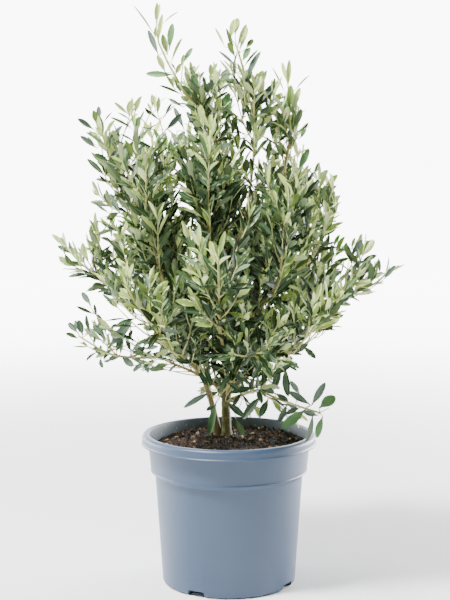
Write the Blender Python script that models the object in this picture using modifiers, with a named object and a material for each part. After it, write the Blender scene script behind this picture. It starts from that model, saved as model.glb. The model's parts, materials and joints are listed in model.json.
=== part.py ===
"""Olive bush in a round nursery pot, about 0.79 m tall with its pot.

Metres, +Z up. The origin is the middle of the pot's flat underside, +X is the
right of the plant seen from its front, and +Y points to its back.
"""

import math
import random
from typing import NamedTuple

import bmesh
import bpy
from mathutils import Matrix, Vector
from mathutils.bvhtree import BVHTree

# Clearance between neighbouring solids
GAP = 0.0003
# Clearance that a twig or a leaf keeps to everything it isn't fused to
TWIG_CLEARANCE = 0.0006

# Pot
POT_HEIGHT = 0.2065
LIP_RADIUS = 0.1200
LIP_FOOT_HEIGHT = 0.1912
LIP_ROUNDING = 0.0030
LIP_OUTER_ROUNDING = 0.0048
MOUTH_RADIUS = 0.1092
COLLAR_TOP_RADIUS = 0.1104
COLLAR_FOOT_RADIUS = 0.1070
COLLAR_FOOT_HEIGHT = 0.1570
BODY_TOP_RADIUS = 0.1012
BODY_TOP_HEIGHT = 0.1510
FOOT_RADIUS = 0.0912
FOOT_ROUNDING = 0.0050
POT_WALL = 0.0020
FLOOR_THICKNESS = 0.0030
FOOT_RING_HEIGHT = 0.0105
FOOT_RING_WIDTH = 0.0180
LEDGE_SLOPE = 0.0040
POT_STEPS = 36
SHARP_ANGLE = math.radians(35.0)

# Drainage notches in the foot's outer edge
NOTCH_COUNT = 4
FIRST_NOTCH_ANGLE = math.radians(-119.0)
NOTCH_WIDTH = 0.0280
NOTCH_DEPTH = 0.0100
NOTCH_HEIGHT = 0.0080

# Compost
COMPOST_TOP = 0.1965
COMPOST_SLOPE_TO_LEFT = 0.0085
COMPOST_SLOPE_TO_FRONT = 0.0060
COMPOST_EDGE_SINK = 0.0040
COMPOST_PLATEAU = 0.0380
COMPOST_STEPS = 24
COMPOST_RINGS = 4

# Stems and boughs
STEM_FOOT = Vector((-0.0035, 0.0300, COMPOST_TOP + GAP))
TRUNK_TOP = STEM_FOOT + Vector((-0.0010, -0.0020, 0.0600))
TRUNK_RADII = (0.0105, 0.0084, 0.0066, 0.0061, 0.0060, 0.0062)
SECOND_STEM_OFFSET = Vector((-0.0140, 0.0050, -0.0040))
SECOND_STEM_LEAN = Vector((-0.12, 0.00, 0.99))
SECOND_STEM_FLARE = 1.45
LIMB_STEP = 0.0300
SET_OFF_SHARE = 0.36
ARRIVE_SHARE = 0.30
FEWEST_SPANS = 4
LIMB_ROUNDNESS = 1
TRUNK_ROUNDNESS = 2
STEM_ROUNDNESS = 0

# Leaves and twigs of the solids, larger than life and fewer than the plant has
LEAF_LENGTH = 0.0720
LEAF_WIDTH = 0.0240
LEAF_THICKNESS = 0.0024
LEAF_TIP_SHRINK = 0.30
LEAF_SIDES = 3
LEAF_ANGLE = math.radians(42.0)
LEAF_ROOT_SHIFT = 0.0010
LEAF_SINK = 0.0040
LEAF_TURN = 0.25
LEAF_LEAN = 0.15
LEAF_TRY_SHRINK = 0.03
STEM_LEAF_SIZE = 0.85
# How far a leaf's middle, a leaf's tip and a twig's tip may pass into the next mass's space
MIDDLE_SLACK = 0.003
TIP_SLACK = 0.012
TWIG_SLACK = 0.004
TWIG_ANGLE = math.radians(46.0)
TWIG_ROOT_RADIUS = 0.0016
TWIG_TIP_RADIUS = 0.0011
TWIG_SIDES = 3
TWIG_ROOT_SHIFT = 0.0026
TWIG_REACH_SHRINK = 0.45
TWIG_RISE = 0.12
TWIG_TRY_SHRINK = 0.05
TWIG_PAIR_SHARE = 0.55
MASS_END_RISE = 0.5
FIRST_TWIG = 0.10
LAST_TWIG = 0.68
FIRST_PAIR = 0.54
LAST_PAIR = 0.86
SHORTEST_TWIG = 0.0220
MASS_TIP_RADIUS = 0.0012
MASS_JOINT_LENGTH = 0.0060
TRIES = 14
GROWTHS = 6
SOUND_DISTANCE = 1e-6
SEED = 417


class Girth(NamedTuple):
    """How far the crown reaches to each side at one height."""

    height: float
    left: float
    right: float
    depth: float


# How far the crown's middle stands behind the pot's
CROWN_MIDDLE = 0.0080
# The crown's outline from its lowest spray to its top shoots
CROWN = (
    Girth(0.190, 0.060, 0.146, 0.080),
    Girth(0.270, 0.150, 0.142, 0.150),
    Girth(0.310, 0.184, 0.128, 0.190),
    Girth(0.360, 0.216, 0.150, 0.205),
    Girth(0.400, 0.204, 0.190, 0.215),
    Girth(0.436, 0.224, 0.236, 0.215),
    Girth(0.474, 0.242, 0.190, 0.215),
    Girth(0.510, 0.186, 0.152, 0.200),
    Girth(0.570, 0.180, 0.128, 0.175),
    Girth(0.640, 0.188, 0.104, 0.150),
    Girth(0.665, 0.150, 0.100, 0.138),
    Girth(0.715, 0.124, 0.086, 0.110),
    Girth(0.735, 0.124, 0.040, 0.080),
    Girth(0.792, 0.124, 0.030, 0.050),
)


class Stem(NamedTuple):
    """A limb: where it starts, where it ends and how thick it is."""

    name: str
    parent: str
    share: float
    tip: tuple[float, float, float]
    root_radius: float
    tip_radius: float
    lift: float


class Mass(NamedTuple):
    """A mass of foliage at the end of its limb."""

    name: str
    limb: str
    tip: tuple[float, float, float]
    spread: float
    twig_pairs: int
    leaf_pairs: int


# Each limb leaves its parent at a share of the parent's length. Lift is how
# much it sets off upwards rather than straight at its tip.
LIMBS = (
    Stem("leader", "trunk", 1.00, (-0.004, 0.022, 0.545), 0.0056, 0.0026, 0.6),
    Stem("left_stem", "ground", 0.00, (-0.108, 0.018, 0.450), 0.0045, 0.0022, 0.0),
    Stem("right_stem", "trunk", 0.78, (0.064, 0.016, 0.500), 0.0046, 0.0024, 0.3),
    Stem("right_bough", "right_stem", 0.08, (0.096, 0.004, 0.360), 0.0034, 0.0020, -0.3),
    Stem("low_right_bough", "trunk", 0.80, (0.036, -0.016, 0.268), 0.0024, 0.0017, 0.3),
    Stem("low_left_bough", "trunk", 0.90, (-0.096, -0.006, 0.313), 0.0026, 0.0017, 0.9),
    Stem("top_centre_bough", "leader", 0.44, (0.026, 0.002, 0.520), 0.0029, 0.0021, 0.3),
    Stem("top_back_bough", "leader", 0.34, (-0.022, 0.068, 0.460), 0.0030, 0.0020, 0.1),
    Stem("top_front_bough", "leader", 0.28, (-0.022, -0.026, 0.430), 0.0029, 0.0020, 0.1),
    Stem("upper_left_front_bough", "left_stem", 0.52, (-0.084, -0.028, 0.412), 0.0026, 0.0018, 0.2),
    Stem("upper_left_back_bough", "left_stem", 0.58, (-0.086, 0.070, 0.440), 0.0026, 0.0018, 0.1),
    Stem("middle_left_bough", "left_stem", 0.45, (-0.118, 0.012, 0.374), 0.0024, 0.0016, -0.2),
    Stem("middle_left_front_bough", "left_stem", 0.32, (-0.062, -0.030, 0.316), 0.0024, 0.0016, 0.0),
    Stem("middle_left_back_bough", "left_stem", 0.38, (-0.076, 0.088, 0.350), 0.0025, 0.0017, 0.0),
    Stem("low_back_bough", "left_stem", 0.18, (-0.034, 0.096, 0.304), 0.0024, 0.0017, 0.1),
    Stem("low_front_bough", "trunk", 0.92, (0.018, -0.042, 0.312), 0.0024, 0.0017, 0.3),
    Stem("middle_front_bough", "leader", 0.13, (-0.010, -0.054, 0.348), 0.0026, 0.0018, 0.1),
    Stem("middle_back_bough", "leader", 0.20, (0.010, 0.100, 0.376), 0.0026, 0.0018, 0.1),
    Stem("upper_right_bough", "right_stem", 0.50, (0.092, 0.006, 0.428), 0.0026, 0.0018, -0.1),
    Stem("upper_right_back_bough", "right_stem", 0.56, (0.070, 0.072, 0.452), 0.0026, 0.0018, 0.1),
    Stem("upper_right_front_bough", "right_stem", 0.40, (0.050, -0.034, 0.394), 0.0026, 0.0018, 0.1),
    Stem("middle_right_front_bough", "right_stem", 0.24, (0.062, -0.042, 0.320), 0.0025, 0.0017, -0.1),
    Stem("middle_right_back_bough", "right_stem", 0.28, (0.070, 0.082, 0.344), 0.0025, 0.0017, 0.0),
)

MASSES = (
    Mass("top_left_foliage", "leader", (-0.094, 0.008, 0.787), 0.064, 3, 3),
    Mass("top_centre_foliage", "top_centre_bough", (0.012, -0.004, 0.764), 0.062, 3, 3),
    Mass("top_right_foliage", "right_stem", (0.081, 0.006, 0.713), 0.062, 3, 2),
    Mass("top_back_foliage", "top_back_bough", (-0.036, 0.106, 0.690), 0.074, 3, 2),
    Mass("top_front_foliage", "top_front_bough", (-0.024, -0.078, 0.640), 0.074, 3, 2),
    Mass("upper_left_foliage", "left_stem", (-0.180, 0.004, 0.652), 0.064, 3, 3),
    Mass("upper_left_front_foliage", "upper_left_front_bough", (-0.124, -0.070, 0.640), 0.072, 3, 2),
    Mass("upper_left_back_foliage", "upper_left_back_bough", (-0.112, 0.108, 0.640), 0.072, 3, 2),
    Mass("middle_left_foliage", "middle_left_bough", (-0.231, 0.004, 0.480), 0.070, 3, 2),
    Mass("middle_left_front_foliage", "middle_left_front_bough", (-0.136, -0.134, 0.440), 0.076, 3, 2),
    Mass("middle_left_back_foliage", "middle_left_back_bough", (-0.140, 0.156, 0.490), 0.076, 3, 2),
    Mass("low_left_foliage", "low_left_bough", (-0.212, -0.012, 0.364), 0.062, 3, 2),
    Mass("low_back_foliage", "low_back_bough", (-0.060, 0.186, 0.372), 0.070, 3, 2),
    Mass("low_front_foliage", "low_front_bough", (0.052, -0.158, 0.362), 0.066, 3, 2),
    Mass("middle_front_foliage", "middle_front_bough", (-0.014, -0.170, 0.480), 0.076, 3, 2),
    Mass("middle_back_foliage", "middle_back_bough", (0.020, 0.196, 0.510), 0.076, 3, 2),
    Mass("upper_right_foliage", "upper_right_bough", (0.146, 0.000, 0.570), 0.064, 3, 2),
    Mass("upper_right_back_foliage", "upper_right_back_bough", (0.110, 0.118, 0.622), 0.072, 3, 2),
    Mass("upper_right_front_foliage", "upper_right_front_bough", (0.090, -0.098, 0.574), 0.072, 3, 2),
    Mass("middle_right_foliage", "right_bough", (0.226, 0.000, 0.441), 0.066, 3, 2),
    Mass("middle_right_front_foliage", "middle_right_front_bough", (0.138, -0.126, 0.424), 0.074, 3, 2),
    Mass("middle_right_back_foliage", "middle_right_back_bough", (0.150, 0.150, 0.464), 0.076, 3, 2),
    Mass("low_right_foliage", "low_right_bough", (0.138, -0.064, 0.244), 0.052, 3, 2),
)

COLOURS = {
    "pot": ((0.20, 0.27, 0.36), 0.50),
    "compost": ((0.055, 0.032, 0.020), 0.95),
    "trunk": ((0.26, 0.19, 0.07), 0.80),
    "bough": ((0.34, 0.26, 0.10), 0.75),
    "foliage": ((0.13, 0.19, 0.09), 0.55),
}


def clear_scene():
    """Empties the file of objects."""
    for obj in list(bpy.data.objects):
        bpy.data.objects.remove(obj, do_unlink=True)


def make_material(name):
    """A plain material with the colour and roughness listed under the name."""
    colour, roughness = COLOURS[name]
    material = bpy.data.materials.new(name)
    material.use_nodes = True
    shader = material.node_tree.nodes["Principled BSDF"]
    shader.inputs["Base Color"].default_value = (*colour, 1.0)
    shader.inputs["Roughness"].default_value = roughness
    shader.inputs["Metallic"].default_value = 0.0
    material.diffuse_color = (*colour, 1.0)
    return material


def add_object(name, mesh, collection):
    """Links a new object with this mesh into the collection."""
    obj = bpy.data.objects.new(name, mesh)
    collection.objects.link(obj)
    return obj


def evaluated_mesh(obj):
    """The object's mesh with its modifiers, or its bevelled curve, applied."""
    graph = bpy.context.evaluated_depsgraph_get()
    return bpy.data.meshes.new_from_object(obj.evaluated_get(graph), depsgraph=graph)


def weld(mesh, distance=1e-6):
    """Merges points in the same place and turns every face outwards."""
    bm = bmesh.new()
    bm.from_mesh(mesh)
    bmesh.ops.remove_doubles(bm, verts=bm.verts, dist=distance)
    bmesh.ops.recalc_face_normals(bm, faces=bm.faces)
    bm.to_mesh(mesh)
    bm.free()


def turned(name, profile, steps, collection):
    """A solid of revolution about Z from (radius, height) points down its outside."""
    mesh = bpy.data.meshes.new(name)
    bm = bmesh.new()
    points = [bm.verts.new((radius, 0.0, height)) for radius, height in profile]
    for start, end in zip(points, points[1:]):
        bm.edges.new((start, end))
    bm.to_mesh(mesh)
    bm.free()
    obj = add_object(name, mesh, collection)
    screw = obj.modifiers.new("Turn", "SCREW")
    screw.axis = "Z"
    screw.steps = screw.render_steps = steps
    screw.use_merge_vertices = True
    screw.merge_threshold = 1e-5
    solid = evaluated_mesh(obj)
    obj.modifiers.remove(screw)
    obj.data = solid
    bpy.data.meshes.remove(mesh)
    weld(solid)
    return obj


def rounded(corner, before, after, radius):
    """Three points that round off one corner of a profile."""
    corner, before, after = Vector(corner), Vector(before), Vector(after)
    start = corner + (before - corner).normalized() * radius
    end = corner + (after - corner).normalized() * radius
    middle = ((start + end) / 2).lerp(corner, 1.0 - math.sqrt(0.5) / 2.0)
    return [tuple(start), tuple(middle), tuple(end)]


def outer_radius(height):
    """Radius of the pot's outer wall below its lip: tapered body, slanted step and collar."""
    if height <= BODY_TOP_HEIGHT:
        return FOOT_RADIUS + (BODY_TOP_RADIUS - FOOT_RADIUS) * height / BODY_TOP_HEIGHT
    if height <= COLLAR_FOOT_HEIGHT:
        share = (height - BODY_TOP_HEIGHT) / (COLLAR_FOOT_HEIGHT - BODY_TOP_HEIGHT)
        return BODY_TOP_RADIUS + (COLLAR_FOOT_RADIUS - BODY_TOP_RADIUS) * share
    share = (height - COLLAR_FOOT_HEIGHT) / (LIP_FOOT_HEIGHT - COLLAR_FOOT_HEIGHT)
    return COLLAR_FOOT_RADIUS + (COLLAR_TOP_RADIUS - COLLAR_FOOT_RADIUS) * share


def inner_radius(height):
    """Radius of the pot's inner wall at a height."""
    return min(outer_radius(height) - POT_WALL, MOUTH_RADIUS)


def pot_inside():
    """Points of the pot's inside, from the middle of its floor up to its lip."""
    ledge = FOOT_RADIUS - FOOT_RING_WIDTH
    points = [(0.0, FLOOR_THICKNESS), (ledge - LEDGE_SLOPE, FLOOR_THICKNESS), (ledge, FOOT_RING_HEIGHT)]
    for height in (FOOT_RING_HEIGHT, BODY_TOP_HEIGHT, COLLAR_FOOT_HEIGHT, LIP_FOOT_HEIGHT):
        points.append((inner_radius(height), height))
    return points


def make_pot(parts, cutters):
    """The pot's shell with its lip, collar, step and four drainage notches."""
    top_inner, top_outer = (MOUTH_RADIUS, POT_HEIGHT), (LIP_RADIUS, POT_HEIGHT)
    lip_outer, lip_inner = (LIP_RADIUS, LIP_FOOT_HEIGHT), (COLLAR_TOP_RADIUS, LIP_FOOT_HEIGHT)
    profile = pot_inside()
    profile += rounded(top_inner, profile[-1], top_outer, LIP_ROUNDING)
    profile += rounded(top_outer, top_inner, lip_outer, LIP_OUTER_ROUNDING)
    profile += rounded(lip_outer, top_outer, lip_inner, LIP_ROUNDING)
    profile.append(lip_inner)
    for height in (COLLAR_FOOT_HEIGHT, BODY_TOP_HEIGHT):
        profile.append((outer_radius(height), height))
    profile += rounded((FOOT_RADIUS, 0.0), profile[-1], (0.0, 0.0), FOOT_ROUNDING)
    profile.append((0.0, 0.0))
    pot = turned("pot", profile, POT_STEPS, parts)
    for index in range(NOTCH_COUNT):
        angle = FIRST_NOTCH_ANGLE + index * math.tau / NOTCH_COUNT
        cut_notch(f"notch_cutter_{index}", angle, cutters)
    apply_boolean(pot, "DIFFERENCE", collection=cutters)
    pot.data.set_sharp_from_angle(angle=SHARP_ANGLE)
    return pot


def cut_notch(name, angle, cutters):
    """A block that cuts one drainage notch out of the foot's outer edge."""
    bm = bmesh.new()
    size = (2 * NOTCH_DEPTH, NOTCH_WIDTH, 2 * NOTCH_HEIGHT)
    bmesh.ops.create_cube(bm, size=1.0, matrix=Matrix.Diagonal((*size, 1.0)))
    mesh = bpy.data.meshes.new(name)
    bm.to_mesh(mesh)
    bm.free()
    cutter = add_object(name, mesh, cutters)
    cutter.location = (FOOT_RADIUS * math.cos(angle), FOOT_RADIUS * math.sin(angle), 0.0)
    cutter.rotation_euler = (0.0, 0.0, angle)
    cutter.hide_render = True
    cutter.display_type = "WIRE"


def compost_height(x, y):
    """Height of the compost: level round the stems, lower to the left and the front."""
    away = math.hypot(x - STEM_FOOT.x, y - STEM_FOOT.y)
    share = min(1.0, max(0.0, (away - COMPOST_PLATEAU) / (MOUTH_RADIUS - COMPOST_PLATEAU)))
    left = max(0.0, -x / MOUTH_RADIUS) * COMPOST_SLOPE_TO_LEFT
    front = max(0.0, -y / MOUTH_RADIUS) * COMPOST_SLOPE_TO_FRONT
    return COMPOST_TOP - share * (COMPOST_EDGE_SINK + left + front)


def make_compost(parts):
    """The root ball and compost that fill the pot."""
    wall = [(radius - 2 * GAP, height + GAP) for radius, height in pot_inside()[1:-1]]
    edge = (inner_radius(COMPOST_TOP) - 2 * GAP, COMPOST_TOP)
    top = [(edge[0] * ring / COMPOST_RINGS, COMPOST_TOP) for ring in range(COMPOST_RINGS)]
    profile = top + [edge] + wall[::-1] + [(0.0, FLOOR_THICKNESS + GAP)]
    compost = turned("compost", profile, COMPOST_STEPS, parts)
    for vertex in compost.data.vertices:
        if vertex.co.z > COMPOST_TOP - GAP:
            vertex.co.z = compost_height(vertex.co.x, vertex.co.y)
            reach = math.hypot(vertex.co.x, vertex.co.y)
            widest = inner_radius(vertex.co.z) - 2 * GAP
            if reach > widest:
                vertex.co.x *= widest / reach
                vertex.co.y *= widest / reach
    return compost


def bend_path(start, direction, tip, end_direction=None):
    """Points of a smooth limb from start to tip that sets off in a direction."""
    span = (tip - start).length
    first = start + direction.normalized() * span * SET_OFF_SHARE
    towards = (tip - start).normalized() if end_direction is None else end_direction.normalized()
    last = tip - towards * span * ARRIVE_SHARE
    count = max(FEWEST_SPANS, round(span / LIMB_STEP) + 1)
    points = []
    for index in range(count + 1):
        t = index / count
        s = 1.0 - t
        points.append(start * s**3 + first * 3 * s * s * t + last * 3 * s * t * t + tip * t**3)
    return points


def tube_mesh(name, points, radii, resolution):
    """A closed tapering tube through the points, from a bevelled curve with caps."""
    curve = bpy.data.curves.new(name, "CURVE")
    curve.dimensions = "3D"
    curve.bevel_depth = 1.0
    curve.bevel_resolution = resolution
    curve.use_fill_caps = True
    spline = curve.splines.new("POLY")
    spline.points.add(len(points) - 1)
    for point, place, radius in zip(spline.points, points, radii):
        point.co = (*place, 1.0)
        point.radius = radius
    obj = add_object(name, curve, bpy.context.scene.collection)
    mesh = evaluated_mesh(obj)
    bpy.data.objects.remove(obj, do_unlink=True)
    bpy.data.curves.remove(curve)
    weld(mesh)
    return mesh


def tree_of(mesh):
    """A search tree over the mesh's faces."""
    bm = bmesh.new()
    bm.from_mesh(mesh)
    tree = BVHTree.FromBMesh(bm)
    bm.free()
    return tree


def apply_boolean(obj, operation, operand=None, collection=None):
    """Applies one Boolean with an object or a collection, by MANIFOLD where EXACT leaves nothing."""
    for solver in ("EXACT", "MANIFOLD"):
        modifier = obj.modifiers.new("Join", "BOOLEAN")
        modifier.operation = operation
        modifier.solver = solver
        if operand is None:
            modifier.operand_type = "COLLECTION"
            modifier.collection = collection
        else:
            modifier.object = operand
        mesh = evaluated_mesh(obj)
        obj.modifiers.remove(modifier)
        if mesh.polygons:
            obj.data = mesh
            return
        bpy.data.meshes.remove(mesh)


def keep_piece_nearest(mesh, place):
    """Deletes every loose piece of the mesh except the one nearest the place."""
    bm = bmesh.new()
    bm.from_mesh(mesh)
    pieces, seen = [], set()
    for face in bm.faces:
        if face in seen:
            continue
        piece, waiting = [], [face]
        seen.add(face)
        while waiting:
            current = waiting.pop()
            piece.append(current)
            for other in (other for edge in current.edges for other in edge.link_faces):
                if other not in seen:
                    seen.add(other)
                    waiting.append(other)
        pieces.append(piece)
    nearest = [min((v.co - place).length for face in piece for v in face.verts) for piece in pieces]
    kept = pieces[nearest.index(min(nearest))]
    for piece in pieces:
        if piece is not kept:
            bmesh.ops.delete(bm, geom=piece, context="FACES")
    bm.to_mesh(mesh)
    bm.free()
    return len(pieces)


def is_sound(mesh):
    """Whether the mesh is closed and nowhere touches itself."""
    bm = bmesh.new()
    bm.from_mesh(mesh)
    bmesh.ops.remove_doubles(bm, verts=bm.verts, dist=SOUND_DISTANCE)
    sound = all(edge.is_manifold for edge in bm.edges) and all(vert.is_manifold for vert in bm.verts)
    bm.free()
    return sound


def cut_flat(mesh, height):
    """Cuts the mesh off level at a height and closes the cut."""
    bm = bmesh.new()
    bm.from_mesh(mesh)
    geometry = bm.verts[:] + bm.edges[:] + bm.faces[:]
    cut = bmesh.ops.bisect_plane(
        bm, geom=geometry, plane_co=(0.0, 0.0, height), plane_no=(0.0, 0.0, 1.0), clear_inner=True
    )
    rim = [item for item in cut["geom_cut"] if isinstance(item, bmesh.types.BMEdge)]
    bmesh.ops.contextual_create(bm, geom=rim)
    bmesh.ops.recalc_face_normals(bm, faces=bm.faces)
    bm.to_mesh(mesh)
    bm.free()


class Plant:
    """The limbs and masses made so far, and the search trees that keep them apart."""

    def __init__(self, parts, materials):
        self.parts = parts
        self.materials = materials
        self.paths = {}
        self.radii = {}
        self.grown = []
        self.blockers = []

    def add_limb(self, name, points, radii, resolution, material):
        """Makes one limb and cuts its root back to 0.3 mm from the limbs it grows from."""
        limb = add_object(name, tube_mesh(name, points, radii, resolution), self.parts)
        tree = tree_of(limb.data)
        for grown, grown_tree in self.grown:
            if tree.overlap(grown_tree):
                cutter = add_object("root_cutter", grown, self.parts)
                apply_boolean(limb, "DIFFERENCE", operand=cutter)
                bpy.data.objects.remove(cutter, do_unlink=True)
        keep_piece_nearest(limb.data, points[-1])
        limb.data.materials.clear()
        limb.data.materials.append(self.materials[material])
        self.paths[name] = points
        self.radii[name] = radii
        ends = (points[1] - points[0]).normalized() * GAP, (points[-1] - points[-2]).normalized() * GAP
        longer = [points[0] - ends[0]] + points[1:-1] + [points[-1] + ends[1]]
        grown = tube_mesh("root_cutter", longer, [radius + GAP for radius in radii], resolution)
        self.grown.append((grown, tree_of(grown)))
        clearance = tube_mesh("clearance", longer, [radius + TWIG_CLEARANCE for radius in radii], resolution)
        self.blockers.append(tree_of(clearance))
        bpy.data.meshes.remove(clearance)
        return limb

    def point_on(self, name, share):
        """A point of a limb's axis and the limb's direction there."""
        path = self.paths[name]
        place = share * (len(path) - 1)
        index = min(int(place), len(path) - 2)
        along = path[index + 1] - path[index]
        return path[index] + along * (place - index), along.normalized()


def taper(first, last, count):
    """Radii that shrink evenly from first to last over a number of points."""
    return [first + (last - first) * index / (count - 1) for index in range(count)]


def grow_limbs(plant):
    """Trunk, second stem and every bough."""
    rise = (TRUNK_TOP - STEM_FOOT) / (len(TRUNK_RADII) - 2)
    trunk = [STEM_FOOT + rise * (index - 1) for index in range(len(TRUNK_RADII))]
    made = plant.add_limb("trunk", trunk, list(TRUNK_RADII), TRUNK_ROUNDNESS, "trunk")
    cut_flat(made.data, STEM_FOOT.z)
    for limb in LIMBS:
        tip = Vector(limb.tip)
        if limb.parent == "ground":
            start, along = STEM_FOOT + SECOND_STEM_OFFSET, SECOND_STEM_LEAN
        else:
            start, along = plant.point_on(limb.parent, limb.share)
        direction = (tip - start).normalized() + Vector((0.0, 0.0, limb.lift))
        if limb.parent == "ground" or limb.share == 1.0:
            start, direction = start + along * GAP, along
        points = bend_path(start, direction, tip)
        radii = taper(limb.root_radius, limb.tip_radius, len(points))
        if limb.parent == "ground":
            radii[0] *= SECOND_STEM_FLARE
        made = plant.add_limb(limb.name, points, radii, LIMB_ROUNDNESS, "bough")
        if limb.parent == "ground":
            cut_flat(made.data, STEM_FOOT.z)


def leaf_mesh(root, direction, width_axis, length, width, thickness):
    """One leaf: a slim faceted spindle with a ridge, its root point at root."""
    bm = bmesh.new()
    bmesh.ops.create_uvsphere(bm, u_segments=LEAF_SIDES, v_segments=2, radius=1.0)
    normal = direction.cross(width_axis).normalized()
    side = normal.cross(direction).normalized()
    ring = [vertex for vertex in bm.verts if abs(vertex.co.z) < 0.5]
    widest = max(abs(vertex.co.y) for vertex in ring)
    for vertex in bm.verts:
        along = (vertex.co.z + 1.0) / 2.0
        across = vertex.co.y / widest * width / 2.0
        lift = vertex.co.x * thickness / 1.5
        vertex.co = root + direction * along * length + side * across + normal * lift
    bmesh.ops.recalc_face_normals(bm, faces=bm.faces)
    mesh = bpy.data.meshes.new("leaf")
    bm.to_mesh(mesh)
    bm.free()
    return mesh


def twig_mesh(root, tip, root_radius, tip_radius):
    """One straight three-sided twig."""
    bm = bmesh.new()
    span = tip - root
    turn = span.to_track_quat("Z", "Y").to_matrix().to_4x4()
    place = Matrix.Translation((root + tip) / 2) @ turn
    bmesh.ops.create_cone(
        bm, cap_ends=True, segments=TWIG_SIDES, radius1=root_radius, radius2=tip_radius,
        depth=span.length, matrix=place,
    )
    bmesh.ops.recalc_face_normals(bm, faces=bm.faces)
    mesh = bpy.data.meshes.new("twig")
    bm.to_mesh(mesh)
    bm.free()
    return mesh


class MassGrower:
    """Grows one mass: a stem, twigs in opposite pairs and leaves in opposite pairs."""

    def __init__(self, plant, mass, axes, helpers, seed):
        self.plant = plant
        self.mass = mass
        self.axes = axes
        self.helpers = helpers
        self.rng = random.Random(seed)
        self.own = []
        self.leaf_count = 0

    def in_space(self, place, slack):
        """Whether a point is in the crown and nearer this mass's stem than any other's."""
        if not in_crown(place):
            return False
        nearest = distance_to(place, self.axes[self.mass.name])
        for name, axis in self.axes.items():
            if name != self.mass.name and distance_to(place, axis) + slack < nearest:
                return False
        return True

    def clear(self, tree, parent_index):
        """Whether nothing but the piece it grows from is touched."""
        if any(tree.overlap(blocker) for blocker in self.plant.blockers):
            return False
        for index, other in enumerate(self.own):
            if index != parent_index and tree.overlap(other):
                return False
        return True

    def add_twig(self, root, tip, root_radius, tip_radius, parent_index):
        """Adds a twig if it stays in its space and touches nothing else."""
        if not self.in_space(tip, TWIG_SLACK):
            return None
        test = twig_mesh(root, tip, root_radius + TWIG_CLEARANCE, tip_radius + TWIG_CLEARANCE)
        tree = tree_of(test)
        bpy.data.meshes.remove(test)
        if not self.clear(tree, parent_index):
            return None
        mesh = twig_mesh(root, tip, root_radius, tip_radius)
        add_object("twig", mesh, self.helpers)
        self.own.append(tree_of(mesh))
        return len(self.own) - 1

    def add_leaf(self, root, direction, width_axis, size, parent_index):
        """Adds a leaf, turning it a little until it is clear, or skips it."""
        for attempt in range(TRIES):
            turn = self.rng.uniform(-LEAF_TURN, LEAF_TURN) * (1 + attempt)
            lean = self.rng.uniform(-LEAF_LEAN, LEAF_LEAN) * (1 + attempt)
            way = Matrix.Rotation(lean, 3, width_axis) @ direction
            across = Matrix.Rotation(turn, 3, way) @ width_axis
            scale = size * (1.0 - LEAF_TRY_SHRINK * attempt)
            length, width = LEAF_LENGTH * scale, LEAF_WIDTH * scale
            tip = root + way * length
            if not self.in_space(tip, TIP_SLACK) or not self.in_space(root.lerp(tip, 0.5), MIDDLE_SLACK):
                continue
            slack = 2 * TWIG_CLEARANCE
            test = leaf_mesh(root, way, across, length + slack, width + slack, LEAF_THICKNESS + slack)
            tree = tree_of(test)
            bpy.data.meshes.remove(test)
            if not self.clear(tree, parent_index):
                continue
            mesh = leaf_mesh(root, way, across, length, width, LEAF_THICKNESS)
            add_object("leaf", mesh, self.helpers)
            self.own.append(tree_of(mesh))
            self.leaf_count += 1
            return True
        return False

    def leafy(self, root, tip, size, parent_index, turn):
        """An opposite pair of leaves on a twig, and one more at its tip."""
        along = (tip - root).normalized()
        across = Matrix.Rotation(turn, 3, along) @ along.orthogonal().normalized()
        place = root.lerp(tip, TWIG_PAIR_SHARE)
        self.add_pair(place, along, across, size, parent_index)
        width_axis = along.cross(Matrix.Rotation(math.pi / 4, 3, along) @ across).normalized()
        last_size = size * (1.0 - LEAF_TIP_SHRINK)
        self.add_leaf(tip - along * LEAF_SINK, along, width_axis, last_size, parent_index)

    def add_pair(self, place, along, across, size, parent_index):
        """Two opposite leaves that lean away from their shoot."""
        width_axis = along.cross(across).normalized()
        for side in (1.0, -1.0):
            way = along * math.cos(LEAF_ANGLE) + across * side * math.sin(LEAF_ANGLE)
            root = place + along * side * LEAF_ROOT_SHIFT
            self.add_leaf(root, way.normalized(), width_axis, size, parent_index)

    def place_on(self, points, share):
        """A point of the stem's axis and the stem's direction there."""
        place = share * (len(points) - 1)
        index = min(int(place), len(points) - 2)
        along = points[index + 1] - points[index]
        return points[index] + along * (place - index), along.normalized()

    def grow(self, points, radii):
        """The mass's stem with its twigs and leaves, joined to one solid."""
        mass = self.mass
        stem = tube_mesh(mass.name, points, radii, STEM_ROUNDNESS)
        solid = add_object(mass.name, stem, self.plant.parts)
        self.own.append(tree_of(stem))
        turn = self.rng.uniform(0.0, math.pi)
        for node in range(mass.twig_pairs):
            share = FIRST_TWIG + (LAST_TWIG - FIRST_TWIG) * node / (mass.twig_pairs - 1)
            root, along = self.place_on(points, share)
            across = Matrix.Rotation(turn + node * math.pi / 2, 3, along) @ along.orthogonal().normalized()
            reach = mass.spread * (1.0 - TWIG_REACH_SHRINK * share)
            for side in (1.0, -1.0):
                start = root + along * side * TWIG_ROOT_SHIFT
                self.grow_twig(start, along, across * side, reach, share)
        for pair in range(mass.leaf_pairs):
            share = FIRST_PAIR + (LAST_PAIR - FIRST_PAIR) * pair / (mass.leaf_pairs - 1)
            place, along = self.place_on(points, share)
            pair_turn = turn + math.pi / 4 + pair * math.pi / 2
            across = Matrix.Rotation(pair_turn, 3, along) @ along.orthogonal().normalized()
            self.add_pair(place, along, across, STEM_LEAF_SIZE, 0)
        place, along = self.place_on(points, 1.0)
        last_size = 1.0 - LEAF_TIP_SHRINK
        self.add_leaf(place - along * LEAF_SINK, along, along.orthogonal().normalized(), last_size, 0)
        apply_boolean(solid, "UNION", collection=self.helpers)
        return solid

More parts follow.
